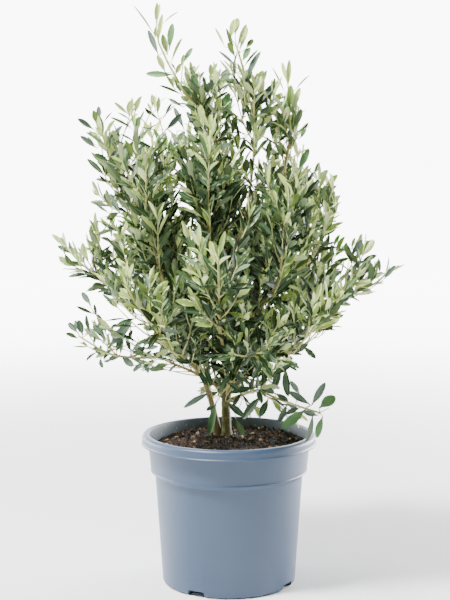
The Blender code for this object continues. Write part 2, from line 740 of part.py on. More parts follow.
    def grow_twig(self, root, along, across, reach, share):
        """One side twig, shortened until it fits, with a pair of leaves and a last leaf."""
        for attempt in range(TRIES):
            length = reach * self.rng.uniform(0.85, 1.1) * (1.0 - TWIG_TRY_SHRINK * attempt)
            angle = TWIG_ANGLE * self.rng.uniform(0.8, 1.15)
            swing = Matrix.Rotation(self.rng.uniform(-0.2, 0.2) * attempt, 3, along)
            way = (along * math.cos(angle) + swing @ across * math.sin(angle)).normalized()
            way = (way + Vector((0.0, 0.0, TWIG_RISE))).normalized()
            length = max(length, SHORTEST_TWIG)
            tip = root + way * length
            shrink = 1.0 - 0.25 * share
            index = self.add_twig(root, tip, TWIG_ROOT_RADIUS * shrink, TWIG_TIP_RADIUS * shrink, 0)
            if index is not None:
                size = 1.0 - (1.0 - STEM_LEAF_SIZE) * share
                self.leafy(root, tip, size, index, self.rng.uniform(0.0, math.pi))
                return


def in_crown(place):
    """Whether a point is inside the crown's outline, an oval at each height."""
    for low, high in zip(CROWN, CROWN[1:]):
        if low.height <= place.z <= high.height:
            share = (place.z - low.height) / (high.height - low.height)
            left, right, depth = (a + (b - a) * share for a, b in zip(low[1:], high[1:]))
            across = (place.x - (right - left) / 2) / ((right + left) / 2)
            return across**2 + ((place.y - CROWN_MIDDLE) / depth) ** 2 <= 1.0
    return False


def distance_to(place, axis):
    """Distance from a point to a chain of points."""
    best = math.inf
    for start, end in zip(axis, axis[1:]):
        along = end - start
        share = max(0.0, min(1.0, (place - start).dot(along) / along.length_squared))
        best = min(best, (place - start - along * share).length)
    return best


def grow_masses(plant, helpers):
    """Every mass of foliage, each on the tip of its limb."""
    axes = {}
    for mass in MASSES:
        path = plant.paths[mass.limb]
        along = (path[-1] - path[-2]).normalized()
        tip = Vector(mass.tip)
        start = path[-1] + along * GAP
        leaf = LEAF_LENGTH * (1.0 - LEAF_TIP_SHRINK) - LEAF_SINK
        up = (tip - start).normalized() + Vector((0.0, 0.0, MASS_END_RISE))
        end = tip - up.normalized() * leaf
        path = bend_path(start + along * MASS_JOINT_LENGTH, along, end, up)
        axes[mass.name] = [start] + path
    for number, mass in enumerate(MASSES):
        points = axes[mass.name]
        radii = taper(plant.radii[mass.limb][-1], MASS_TIP_RADIUS, len(points))
        for growth in range(GROWTHS):
            seed = SEED + number + growth * len(MASSES)
            grower = MassGrower(plant, mass, axes, helpers, seed)
            solid = grower.grow(points, radii)
            keep_piece_nearest(solid.data, points[0])
            remove_objects(helpers)
            if is_sound(solid.data):
                break
            bpy.data.objects.remove(solid, do_unlink=True)
        print(f"{mass.name}: growth {growth}, {grower.leaf_count} leaves")
        solid.data.materials.clear()
        solid.data.materials.append(plant.materials["foliage"])
        plant.blockers += grower.own


def remove_objects(collection):
    """Removes a collection's objects and their meshes."""
    for obj in list(collection.objects):
        mesh = obj.data
        bpy.data.objects.remove(obj, do_unlink=True)
        bpy.data.meshes.remove(mesh)


def main():
    """Builds the whole plant in its pot."""
    clear_scene()
    parts = bpy.data.collections.new("olive_bush")
    cutters = bpy.data.collections.new("olive_bush_cutters")
    helpers = bpy.data.collections.new("olive_bush_helpers")
    for collection in (parts, cutters, helpers):
        bpy.context.scene.collection.children.link(collection)
    materials = {name: make_material(name) for name in COLOURS}
    plant = Plant(parts, materials)
    for solid in (make_pot(parts, cutters), make_compost(parts)):
        solid.data.materials.append(materials[solid.name])
        plant.blockers.append(tree_of(solid.data))
    grow_limbs(plant)
    grow_masses(plant, helpers)
    for grown, _ in plant.grown:
        bpy.data.meshes.remove(grown)
    bpy.data.collections.remove(helpers)


if __name__ == "__main__":
    main()
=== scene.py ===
"""Looks of a young olive bush in its round nursery pot.

Metres, +Z up. The origin is the middle of the pot's flat underside, +X is the
right of the plant seen from its front, and +Y points to its back.
"""

from __future__ import annotations

import json
import logging
import math
import random
from dataclasses import dataclass, field
from enum import Enum
from typing import Any, NamedTuple, Sequence

import bmesh
import bpy
from bpy.types import ID, Collection, Material, Mesh, Node, NodeSocket, Object
from mathutils import Matrix, Vector, noise

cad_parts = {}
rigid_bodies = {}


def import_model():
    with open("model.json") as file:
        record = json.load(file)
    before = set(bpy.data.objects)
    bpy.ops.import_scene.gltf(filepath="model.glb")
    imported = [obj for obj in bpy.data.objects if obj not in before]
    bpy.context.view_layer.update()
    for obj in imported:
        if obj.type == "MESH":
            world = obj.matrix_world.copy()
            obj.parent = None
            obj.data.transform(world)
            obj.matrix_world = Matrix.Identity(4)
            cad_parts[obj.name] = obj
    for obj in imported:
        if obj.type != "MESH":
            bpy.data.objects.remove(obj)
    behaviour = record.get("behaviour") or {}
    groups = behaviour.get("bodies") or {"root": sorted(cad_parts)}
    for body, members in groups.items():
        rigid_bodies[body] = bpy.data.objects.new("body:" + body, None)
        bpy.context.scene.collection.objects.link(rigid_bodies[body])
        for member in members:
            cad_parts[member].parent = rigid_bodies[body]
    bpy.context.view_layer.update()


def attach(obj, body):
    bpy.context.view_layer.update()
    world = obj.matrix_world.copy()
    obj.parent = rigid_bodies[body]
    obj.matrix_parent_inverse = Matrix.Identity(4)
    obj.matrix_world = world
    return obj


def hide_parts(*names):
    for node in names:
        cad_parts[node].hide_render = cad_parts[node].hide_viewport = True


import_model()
BODY = "root"
UP = Vector((0.0, 0.0, 1.0))
log = logging.getLogger("olive_bush")

Triple = tuple[float, float, float]
Colour = Triple
Profile = list[tuple[float, float]]
Settings = dict[str, Any]
Feeds = dict[int | str, Any]


# Shader sockets as Python values


class Value:
    """One shader socket that takes part in Python arithmetic."""

    def __init__(self, recipe: Recipe, socket: NodeSocket) -> None:
        """Keep the recipe that the socket belongs to."""
        self.recipe = recipe
        self.socket = socket

    def __add__(self, other: Term) -> Value:
        """Sum of two values."""
        return self.recipe.math("ADD", self, other)

    def __rsub__(self, other: Term) -> Value:
        """Difference with this value taken away."""
        return self.recipe.math("SUBTRACT", other, self)

    def __mul__(self, other: Term) -> Value:
        """Product of two values."""
        return self.recipe.math("MULTIPLY", self, other)


Term = Value | float


class Recipe:
    """The nodes of one finish."""

    def __init__(self, name: str) -> None:
        """Start a material that holds one Principled shader."""
        self.material = bpy.data.materials.new(name)
        self.material.use_nodes = True
        self.tree = self.material.node_tree
        self.surface = self.tree.nodes["Principled BSDF"]

    def node(
        self,
        kind: str,
        settings: Settings | None = None,
        feeds: Feeds | None = None,
        output: int | str = 0,
    ) -> Value:
        """Add one node.

        Args:
            kind: The node's type.
            settings: Its own settings.
            feeds: A value or a link for each socket that is named.
            output: The socket that is handed back.

        Returns:
            The output as a value.
        """
        node = self.tree.nodes.new(kind)
        for name, setting in (settings or {}).items():
            setattr(node, name, setting)
        for key, feed in (feeds or {}).items():
            self.connect(node.inputs[key], feed)
        return Value(self, node.outputs[output])

    def connect(self, socket: NodeSocket, feed: Any) -> None:
        """Link a value to a socket, or set a plain number or colour on it."""
        if isinstance(feed, Value):
            self.tree.links.new(feed.socket, socket)
        elif isinstance(feed, tuple) and len(feed) == 3 and socket.type == "RGBA":
            socket.default_value = (*feed, 1.0)
        else:
            socket.default_value = feed

    def math(self, operation: str, *terms: Term) -> Value:
        """Add one Math node."""
        return self.node("ShaderNodeMath", {"operation": operation}, dict(enumerate(terms)))

    def place(self, stretch: Colour = (1.0, 1.0, 1.0)) -> Value:
        """Object coordinates, stretched along each axis."""
        where = self.node("ShaderNodeTexCoord", output="Object")
        return self.node("ShaderNodeMapping", feeds={"Vector": where, "Scale": stretch})

    def noise(self, place: Value, scale: float, detail: float = 3.0, roughness: float = 0.55) -> Value:
        """Soft noise from 0 to 1 at a place."""
        feeds = {"Vector": place, "Scale": scale, "Detail": detail, "Roughness": roughness}
        return self.node("ShaderNodeTexNoise", feeds=feeds)

    def band(self, value: Value, low: float, high: float) -> Value:
        """Smooth step from 0 at low to 1 at high."""
        settings = {"interpolation_type": "SMOOTHSTEP", "clamp": True}
        return self.node("ShaderNodeMapRange", settings, {0: value, 1: low, 2: high, 3: 0.0, 4: 1.0})

    def mix(self, share: Term, first: Value | Colour, second: Value | Colour) -> Value:
        """Blend of two colours."""
        return self.node("ShaderNodeMix", {"data_type": "RGBA"}, {0: share, 6: first, 7: second}, 2)

    def bump(self, height: Value, distance: float) -> Value:
        """Normal of a fine relief."""
        return self.node("ShaderNodeBump", feeds={"Height": height, "Distance": distance})

    def finish(self, **sockets: Any) -> Material:
        """Feed the shader's sockets, with spaces in their names written as underscores.

        Args:
            **sockets: Colour, number or value for each socket.

        Returns:
            The finished material.
        """
        for name, feed in sockets.items():
            self.connect(self.surface.inputs[name.replace("_", " ")], feed)
        return self.material


# Finishes


@dataclass(frozen=True)
class PotPlastic:
    """Semi-matte moulded plastic with faint flow marks, scuffs and dust."""

    name: str
    colour: Colour
    worn: Colour
    roughness: float
    speck: float

    def material(self) -> Material:
        """Mottle the colour softly, scratch it finely and dust it with specks."""
        recipe = Recipe(self.name)
        flow = recipe.noise(recipe.place((1.0, 1.0, 0.22)), 26.0, 4.0)
        cloud = recipe.noise(recipe.place(), 9.0, 2.0)
        scuff = recipe.band(recipe.noise(recipe.place((1.0, 1.0, 7.0)), 42.0, 5.0, 0.7), 0.60, 0.78)
        grain = recipe.noise(recipe.place(), 900.0, 2.0)
        dust = recipe.band(recipe.noise(recipe.place(), 330.0, 1.0), 0.72, 0.80) * self.speck
        tone = recipe.mix(flow * 0.5 + cloud * 0.5, self.colour, self.worn)
        marked = recipe.mix(scuff * 0.16, tone, tuple(min(1.0, part * 1.5) for part in self.worn))
        dusty = recipe.mix(dust, marked, (0.62, 0.60, 0.55))
        return recipe.finish(
            Base_Color=dusty,
            Roughness=scuff * 0.10 + cloud * 0.10 + self.roughness,
            Normal=recipe.bump(grain * 0.5 + flow * 0.5, 0.00006),
        )


@dataclass(frozen=True)
class Peat:
    """Moist brown compost, darker in the hollows of its fine relief as painted shade."""

    name: str
    dark: Colour
    light: Colour

    def material(self) -> Material:
        """Speckle two browns at the size of its grains, the dark one in the low spots of the grain relief as
        painted shade.
        """
        recipe = Recipe(self.name)
        grains = recipe.noise(recipe.place(), 420.0, 4.0, 0.7)
        clumps = recipe.noise(recipe.place(), 70.0, 3.0)
        # Painted shade: the grain noise that raises the bump also picks the dark brown where it is low, so
        # the hollows are darker. The clump noise adds random mottle.
        tone = recipe.mix(recipe.band(grains * 0.6 + clumps * 0.4, 0.40, 0.66), self.dark, self.light)
        return recipe.finish(
            Base_Color=tone,
            Roughness=1.0 - clumps * 0.25,
            Normal=recipe.bump(grains, 0.0006),
        )


@dataclass(frozen=True)
class Bark:
    """Smooth young bark: tan on slim boughs, olive-brown and rougher on the trunk."""

    name: str
    slim: Colour
    thick: Colour
    pale: Colour
    slim_girth: float = 0.0018
    thick_girth: float = 0.0062

    def material(self) -> Material:
        """Blend by the girth that the mesh stores, with long streaks and pale lenticels."""
        recipe = Recipe(self.name)
        girth = recipe.node("ShaderNodeAttribute", {"attribute_name": "girth"}, output="Fac")
        age = recipe.band(girth, self.slim_girth, self.thick_girth)
        streak = recipe.noise(recipe.place((1.0, 1.0, 0.16)), 420.0, 4.0, 0.65)
        cloud = recipe.noise(recipe.place(), 95.0, 3.0)
        spots = recipe.band(recipe.noise(recipe.place((1.0, 1.0, 1.8)), 520.0, 1.0), 0.66, 0.74)
        base = recipe.mix(age, self.slim, self.thick)
        furrow = tuple(part * 0.35 for part in self.thick)
        deep = recipe.mix(recipe.band(streak, 0.46, 0.70) * 0.55, base, furrow)
        patched = recipe.mix(recipe.band(cloud, 0.50, 0.72) * 0.45, deep, self.pale)
        return recipe.finish(
            Base_Color=recipe.mix(spots * 0.5, patched, self.pale),
            Roughness=cloud * 0.20 + 0.58,
            Normal=recipe.bump(streak + spots * 0.4, 0.00035),
        )


@dataclass(frozen=True)
class TwigSkin:
    """Skin of a green twig, with a faint bloom."""

    name: str
    colour: Colour
    bloom: Colour

    def material(self) -> Material:
        """Cloud the colour and raise a fine grain."""
        recipe = Recipe(self.name)
        cloud = recipe.noise(recipe.place(), 160.0, 3.0)
        grain = recipe.noise(recipe.place(), 900.0, 2.0)
        return recipe.finish(
            Base_Color=recipe.mix(recipe.band(cloud, 0.40, 0.66), self.colour, self.bloom),
            Roughness=cloud * 0.2 + 0.50,
            Normal=recipe.bump(grain, 0.00012),
        )


@dataclass(frozen=True)
class LeafSide:
    """One side of a leaf: a plain colour under a finely pitted, waxy or felted skin."""

    name: str
    colour: Colour
    roughness: float
    relief: float
    gloss: float = 0.32

    def material(self) -> Material:
        """Keep the colour plain and vary only gloss and relief."""
        recipe = Recipe(self.name)
        pits = recipe.noise(recipe.place(), 1300.0, 2.0)
        cloud = recipe.noise(recipe.place(), 120.0, 2.0)
        return recipe.finish(
            Base_Color=self.colour,
            Roughness=cloud * 0.16 + self.roughness,
            Specular_IOR_Level=self.gloss,
            Normal=recipe.bump(pits, self.relief),
        )


@dataclass(frozen=True)
class BackdropPaper:
    """Pale studio paper that is lit from behind where it rises, most of all behind the plant."""

    name: str = "studio_paper"
    floor: Colour = (0.86, 0.86, 0.86)
    wall: Colour = (0.22, 0.22, 0.22)
    glow: float = 8.9
    glow_start: float = 0.4
    glow_full: float = 3.0
    glow_fades: float = 1.9
    glow_ends: float = 3.0
    front_share: float = 0.03

    def material(self) -> Material:
        """Matt paper, darker on the wall, with a glow that grows away from the plant and ends above it."""
        recipe = Recipe(self.name)
        flat = recipe.place((1.0, 1.0, 0.0))
        reach = recipe.node("ShaderNodeVectorMath", {"operation": "LENGTH"}, {0: flat}, output="Value")
        depth = recipe.node("ShaderNodeSeparateXYZ", feeds={0: recipe.place()}, output="Y")
        height = recipe.node("ShaderNodeSeparateXYZ", feeds={0: recipe.place()}, output="Z")
        away = recipe.band(reach, self.glow_start, self.glow_full)
        share = recipe.band(depth, -1.0, 2.4) * (1.0 - self.front_share) + self.front_share
        low = 1.0 - recipe.band(height, self.glow_fades, self.glow_ends)
        return recipe.finish(
            Base_Color=recipe.mix(away, self.floor, self.wall),
            Roughness=0.8,
            Emission_Color=recipe.mix(away * share * low, (0.0, 0.0, 0.0), (1.0, 1.0, 1.0)),
            Emission_Strength=self.glow,
        )


class Listed(Enum):
    """Options that know their place in the list."""

    @property
    def index(self) -> int:
        """Place of the option in the list."""
        return list(type(self)).index(self)

    @property
    def label(self) -> str:
        """Name of the option in lower case."""
        return self.name.lower()


class LeafTint(Listed):
    """Tints that leaves are dealt: colour of the upper side, then of the underside."""

    # The tints run from dark to pale. The darker ones serve partly as painted shade, dealt inside the crown
    # and low down. The paler ones serve partly as painted light, dealt outside and above. The rest is the
    # paler colour of young leaves and random variety. GREEN and SILVER go only to the leaves that stand out.
    SHADED = ((0.008, 0.022, 0.004), (0.080, 0.122, 0.046))
    DEEP = ((0.013, 0.038, 0.010), (0.150, 0.215, 0.105))
    GREY = ((0.028, 0.068, 0.028), (0.310, 0.400, 0.205))
    OLIVE = ((0.072, 0.132, 0.044), (0.500, 0.600, 0.290))
    FRESH = ((0.225, 0.335, 0.076), (0.640, 0.740, 0.310))
    YOUNG = ((0.500, 0.620, 0.190), (0.700, 0.790, 0.350))
    GREEN = ((0.100, 0.225, 0.085), (0.280, 0.400, 0.180))
    SILVER = ((0.078, 0.122, 0.090), (0.330, 0.410, 0.270))


class Skin(Listed):
    """Skins of twigs: their colour and their bloom."""

    WOODY = ((0.270, 0.220, 0.070), (0.400, 0.350, 0.140))
    GREEN = ((0.430, 0.430, 0.150), (0.560, 0.560, 0.260))
    SOFT = ((0.480, 0.540, 0.210), (0.610, 0.660, 0.330))


RIB_COLOUR = (0.150, 0.205, 0.080)
BARK = Bark("olive_bark", slim=(0.370, 0.295, 0.110), thick=(0.088, 0.082, 0.019), pale=(0.430, 0.360, 0.170))
POT_OUTSIDE = PotPlastic("pot_plastic", (0.036, 0.064, 0.116), (0.042, 0.072, 0.127), 0.37, 0.0)
# The inner wall's plastic is a greyer, duller copy of the outer plastic: painted shade for the dim inside of
# the pot. Its dust specks are real dust.
POT_INSIDE_PAINTED_SHADE_AND_DUST = PotPlastic("pot_inner_wall", (0.044, 0.064, 0.084), (0.060, 0.082, 0.104), 0.50, 0.9)


# Mesh helpers


def add_object(name: str, data: ID) -> Object:
    """Link a new object with this mesh or curve into the scene."""
    obj = bpy.data.objects.new(name, data)
    bpy.context.scene.collection.objects.link(obj)
    return obj


def evaluated_mesh(obj: Object) -> Mesh:
    """Mesh of the object with its modifiers or its bevel applied."""
    graph = bpy.context.evaluated_depsgraph_get()
    return bpy.data.meshes.new_from_object(obj.evaluated_get(graph), depsgraph=graph)


def weld(mesh: Mesh, distance: float = 1e-7, turn: bool = True) -> None:
    """Merge the points of a mesh that lie together.

    Args:
        mesh: The mesh.
        distance: How close together they lie.
        turn: Whether its faces are turned outwards as well.
    """
    bm = bmesh.new()
    bm.from_mesh(mesh)
    bmesh.ops.remove_doubles(bm, verts=bm.verts, dist=distance)
    if turn:
        bmesh.ops.recalc_face_normals(bm, faces=bm.faces)
    bm.to_mesh(mesh)
    bm.free()


def store(mesh: Mesh, name: str, kind: str, domain: str, values: Sequence[float]) -> None:
    """Store a named attribute on a mesh.

    Args:
        mesh: The mesh.
        name: The attribute's name.
        kind: Its type.
        domain: What it belongs to, points or faces.
        values: All its numbers, one after another.
    """
    key = "vector" if kind == "FLOAT_VECTOR" else "value"
    mesh.attributes.new(name, kind, domain).data.foreach_set(key, values)


def around(reach: float, angle: float, height: float) -> Vector:
    """Point at a distance from the axis, an angle round it and a height."""
    return Vector((reach * math.cos(angle), reach * math.sin(angle), height))


def mesh_from(name: str, points: Sequence[Vector], faces: Sequence[Sequence[int]]) -> Mesh:
    """Smooth mesh from points and faces, welded and turned outwards.

    Args:
        name: The mesh's name.
        points: Its points.
        faces: The points of each face.

    Returns:
        The new mesh.
    """
    mesh = bpy.data.meshes.new(name)
    mesh.from_pydata([tuple(point) for point in points], [], [tuple(face) for face in faces])
    weld(mesh)
    mesh.shade_smooth()
    return mesh


def ring_faces(rings: int, sides: int) -> list[tuple[int, ...]]:
    """Quads between rings of points that lie one after another.

    Args:
        rings: How many rings there are.
        sides: How many points each ring has.

    Returns:
        The faces.
    """
    faces: list[tuple[int, ...]] = []
    for low in range(0, (rings - 1) * sides, sides):
        high = low + sides
        for side in range(sides):
            nxt = (side + 1) % sides
            faces.append((low + side, low + nxt, high + nxt, high + side))
    return faces


def rounded_outline(corners: Sequence[Triple], steps: int) -> Profile:
    """Outline through corners, each rounded by an arc that is tangent to both sides.

    Args:
        corners: Radius from the axis, height and rounding of each corner.
        steps: Spans in each arc.

    Returns:
        The outline's points.
    """
    outline: Profile = []
    for index, (radius, height, rounding) in enumerate(corners):
        if rounding <= 0.0 or index in (0, len(corners) - 1):
            outline.append((radius, height))
            continue
        corner = Vector((radius, height))
        into = (Vector(corners[index - 1][:2]) - corner).normalized()
        out = (Vector(corners[index + 1][:2]) - corner).normalized()
        half = into.angle(out) / 2
        start = corner + into * rounding / math.tan(half)
        centre = corner + (into + out).normalized() * rounding / math.sin(half)
        first = math.atan2(start.y - centre.y, start.x - centre.x)
        sweep = (2 * half - math.pi) * math.copysign(1.0, into.cross(out))
        for step in range(steps + 1):
            angle = first + sweep * step / steps
            outline.append((centre.x + rounding * math.cos(angle), centre.y + rounding * math.sin(angle)))
    return outline


def mount(obj: Object, slot: str, *nodes: str) -> None:
    """Let a finished piece ride on the body and stand for its nodes.

    Args:
        obj: The finished piece.
        slot: The record's material slot; not used.
        *nodes: The nodes of the frame that it stands for.
    """
    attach(obj, BODY)
    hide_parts(*nodes)
    log.info("%s: %d faces, for %s", obj.name, len(obj.data.polygons), ", ".join(nodes))


# Pot


@dataclass
class Pot:
    """Round nursery pot with a rolled lip, a collar, a slanted step and four notches."""

    height: float = 0.2065
    lip_radius: float = 0.1200
    lip_foot: float = 0.1926
    mouth_radius: float = 0.1092
    collar_top_radius: float = 0.1104
    collar_foot_radius: float = 0.1070
    collar_foot: float = 0.1556
    body_top_radius: float = 0.1012
    body_top: float = 0.1498
    foot_radius: float = 0.0912
    wall: float = 0.0020
    floor: float = 0.0030
    ring_height: float = 0.0105
    ring_width: float = 0.0180
    bead: float = 0.0007
    recess: float = 0.0010
    steps: int = 168
    arc_steps: int = 5
    notch_count: int = 4
    first_notch: float = math.radians(-119.0)
    notch_size: Triple = (0.0328, 0.0290, 0.0160)
    notch_narrowing: float = 0.80

    def outside(self, height: float) -> float:
        """Radius of the outer wall below the lip.

        Args:
            height: Height above the floor.

        Returns:
            The radius there.
        """
        if height <= self.body_top:
            return self.foot_radius + (self.body_top_radius - self.foot_radius) * height / self.body_top
        if height <= self.collar_foot:
            share = (height - self.body_top) / (self.collar_foot - self.body_top)
            return self.body_top_radius + (self.collar_foot_radius - self.body_top_radius) * share
        share = (height - self.collar_foot) / (self.lip_foot - self.collar_foot)
        return self.collar_foot_radius + (self.collar_top_radius - self.collar_foot_radius) * share

    def inside(self, height: float) -> float:
        """Radius of the inner wall at a height."""
        return min(self.outside(height) - self.wall, self.mouth_radius)

    def corners(self) -> list[Triple]:
        """Corners of the section from the floor's middle over the lip to the underside's middle."""
        ledge = self.foot_radius - self.ring_width
        lip_wall = self.wall * 0.9
        channel = self.height - 1.7 * self.wall
        bead_low = self.collar_foot + 0.0022
        return [
            (0.0, self.floor, 0.0),
            (ledge - 0.004, self.floor, 0.0008),
            (ledge, self.ring_height, 0.0008),
            (self.inside(self.ring_height), self.ring_height, 0.0015),
            (self.inside(self.body_top), self.body_top, 0.0020),
            (self.inside(self.collar_foot), self.collar_foot, 0.0020),
            (self.inside(self.lip_foot), self.lip_foot, 0.0060),
            (self.mouth_radius, self.height - 0.0006, 0.0010),
            (self.mouth_radius + 0.0022, self.height, 0.0020),
            (self.lip_radius - 0.0006, self.height - 0.0004, 0.0046),
            (self.lip_radius - 0.0012, self.lip_foot + 0.0026, 0.0040),
            (self.lip_radius, self.lip_foot + 0.0014, 0.0005),
            (self.lip_radius - 0.0002, self.lip_foot, 0.0005),
            (self.lip_radius - 0.0010 - lip_wall, self.lip_foot, 0.0005),
            (self.lip_radius - lip_wall, channel, 0.0012),
            (self.collar_top_radius + 0.0010, channel, 0.0012),
            (self.collar_top_radius, self.lip_foot - 0.0010, 0.0010),
            (self.outside(bead_low), bead_low, 0.0010),
            (self.collar_foot_radius + self.bead, bead_low - 0.0012, 0.0005),
            (self.collar_foot_radius + self.bead, self.collar_foot, 0.0006),
            (self.body_top_radius, self.body_top, 0.0016),
            (self.foot_radius, 0.0, 0.0050),
            (ledge, 0.0, 0.0006),
            (ledge - 0.0012, self.recess, 0.0006),
            (0.0060, self.recess, 0.0004),
            (0.0055, self.recess * 0.4, 0.0003),
            (0.0, self.recess * 0.4, 0.0),
        ]

    def shell(self) -> Object:
        """Turn the section about the axis.

        Returns:
            The shell with its modifier applied.
        """
        outline = rounded_outline(self.corners(), self.arc_steps)
        mesh = bpy.data.meshes.new("pot_section")
        edges = [(index, index + 1) for index in range(len(outline) - 1)]
        mesh.from_pydata([(radius, 0.0, height) for radius, height in outline], edges, [])
        obj = add_object("pot_shell", mesh)
        screw = obj.modifiers.new("Turn", "SCREW")
        screw.axis = "Z"
        screw.steps = screw.render_steps = self.steps
        screw.use_merge_vertices = True
        screw.merge_threshold = 1e-6
        turned = evaluated_mesh(obj)
        obj.modifiers.remove(screw)
        obj.data = turned
        weld(turned, 1e-6)
        return obj

    def cut_notches(self, shell: Object) -> None:
        """Cut the drainage notches, wider at the floor than above.

        Args:
            shell: The turned shell.
        """
        cutters = []
        for index in range(self.notch_count):
            angle = self.first_notch + index * math.tau / self.notch_count
            bm = bmesh.new()
            bmesh.ops.create_cube(bm, size=1.0, matrix=Matrix.Diagonal((*self.notch_size, 1.0)))
            for vertex in bm.verts:
                vertex.co.y *= self.notch_narrowing if vertex.co.z > 0.0 else 1.0
            bmesh.ops.bevel(bm, geom=bm.edges[:], offset=0.0012, segments=3, affect="EDGES", profile=0.5)
            place = Matrix.Translation(around(self.foot_radius, angle, 0.0))
            bm.transform(place @ Matrix.Rotation(angle, 4, "Z"))
            mesh = bpy.data.meshes.new("notch")
            bm.to_mesh(mesh)
            bm.free()
            cutters.append(add_object("notch", mesh))
        for cutter in cutters:
            cut = shell.modifiers.new("Cut", "BOOLEAN")
            cut.operation = "DIFFERENCE"
            cut.solver = "EXACT"
            cut.object = cutter
        mesh = evaluated_mesh(shell)
        shell.modifiers.clear()
        shell.data = mesh
        for cutter in cutters:
            bpy.data.objects.remove(cutter, do_unlink=True)

    def build(self) -> Object:
        """Make the pot and dress its outer side, and its inner wall in a greyer copy of the plastic that is
        painted shade.

        Returns:
            The finished piece.
        """
        shell = self.shell()
        self.cut_notches(shell)
        mesh = shell.data
        mesh.materials.clear()
        mesh.materials.append(POT_OUTSIDE.material())
        mesh.materials.append(POT_INSIDE_PAINTED_SHADE_AND_DUST.material())
        # Inner-wall faces take the greyer copy of the plastic, which is painted shade inside the pot.
        for polygon in mesh.polygons:
            centre = polygon.center
            reach = math.hypot(centre.x, centre.y)
            inner = centre.z > self.floor - 0.0005 and reach < self.inside(centre.z) + 0.0003
            polygon.material_index = int(inner and centre.z < self.height - 0.0040)
        mesh.shade_smooth()
        mesh.set_sharp_from_angle(angle=math.radians(38.0))
        mount(shell, "pot", "pot")
        return shell


# Scattered bits


class BitShape(Enum):
    """Shapes of the loose bits on the compost."""

    CRUMB = "crumb"
    CHIP = "chip"
    FIBRE = "fibre"


def bit_mesh(shape: BitShape, seed: int) -> Mesh:
    """One rough bit, about 1 across or 1 long.

    Args:
        shape: Which kind of bit.
        seed: Seed of its roughness.

    Returns:
        The bit's mesh.
    """
    rng = random.Random(seed)
    bm = bmesh.new()
    if shape is BitShape.CRUMB:
        bmesh.ops.create_icosphere(bm, subdivisions=1, radius=0.5)
        jitter, flatten = 0.15, Vector((1.0, 0.85, 0.70))
    elif shape is BitShape.CHIP:
        bmesh.ops.create_cube(bm, size=1.0)
        bmesh.ops.subdivide_edges(bm, edges=bm.edges[:], cuts=1, use_grid_fill=True)
        jitter, flatten = 0.10, Vector((1.0, 0.42, 0.16))
    else:
        bmesh.ops.create_cone(bm, cap_ends=True, segments=4, radius1=0.05, radius2=0.02, depth=1.0)
        bm.transform(Matrix.Rotation(math.pi / 2, 4, "Y"))
        whole = bm.verts[:] + bm.edges[:] + bm.faces[:]
        bmesh.ops.bisect_plane(bm, geom=whole, plane_co=(0.0, 0.0, 0.0), plane_no=(1.0, 0.0, 0.0))
        jitter, flatten = 0.0, Vector((1.0, 1.0, 0.6))
    for vertex in bm.verts:
        vertex.co += Vector([rng.uniform(-jitter, jitter) for _ in range(3)])
        vertex.co = Vector([part * flat for part, flat in zip(vertex.co, flatten)])
        if shape is BitShape.FIBRE and abs(vertex.co.x) < 0.2:
            vertex.co.y += 0.16
    bmesh.ops.recalc_face_normals(bm, faces=bm.faces)
    mesh = bpy.data.meshes.new(shape.value)
    bm.to_mesh(mesh)
    bm.free()
    return mesh


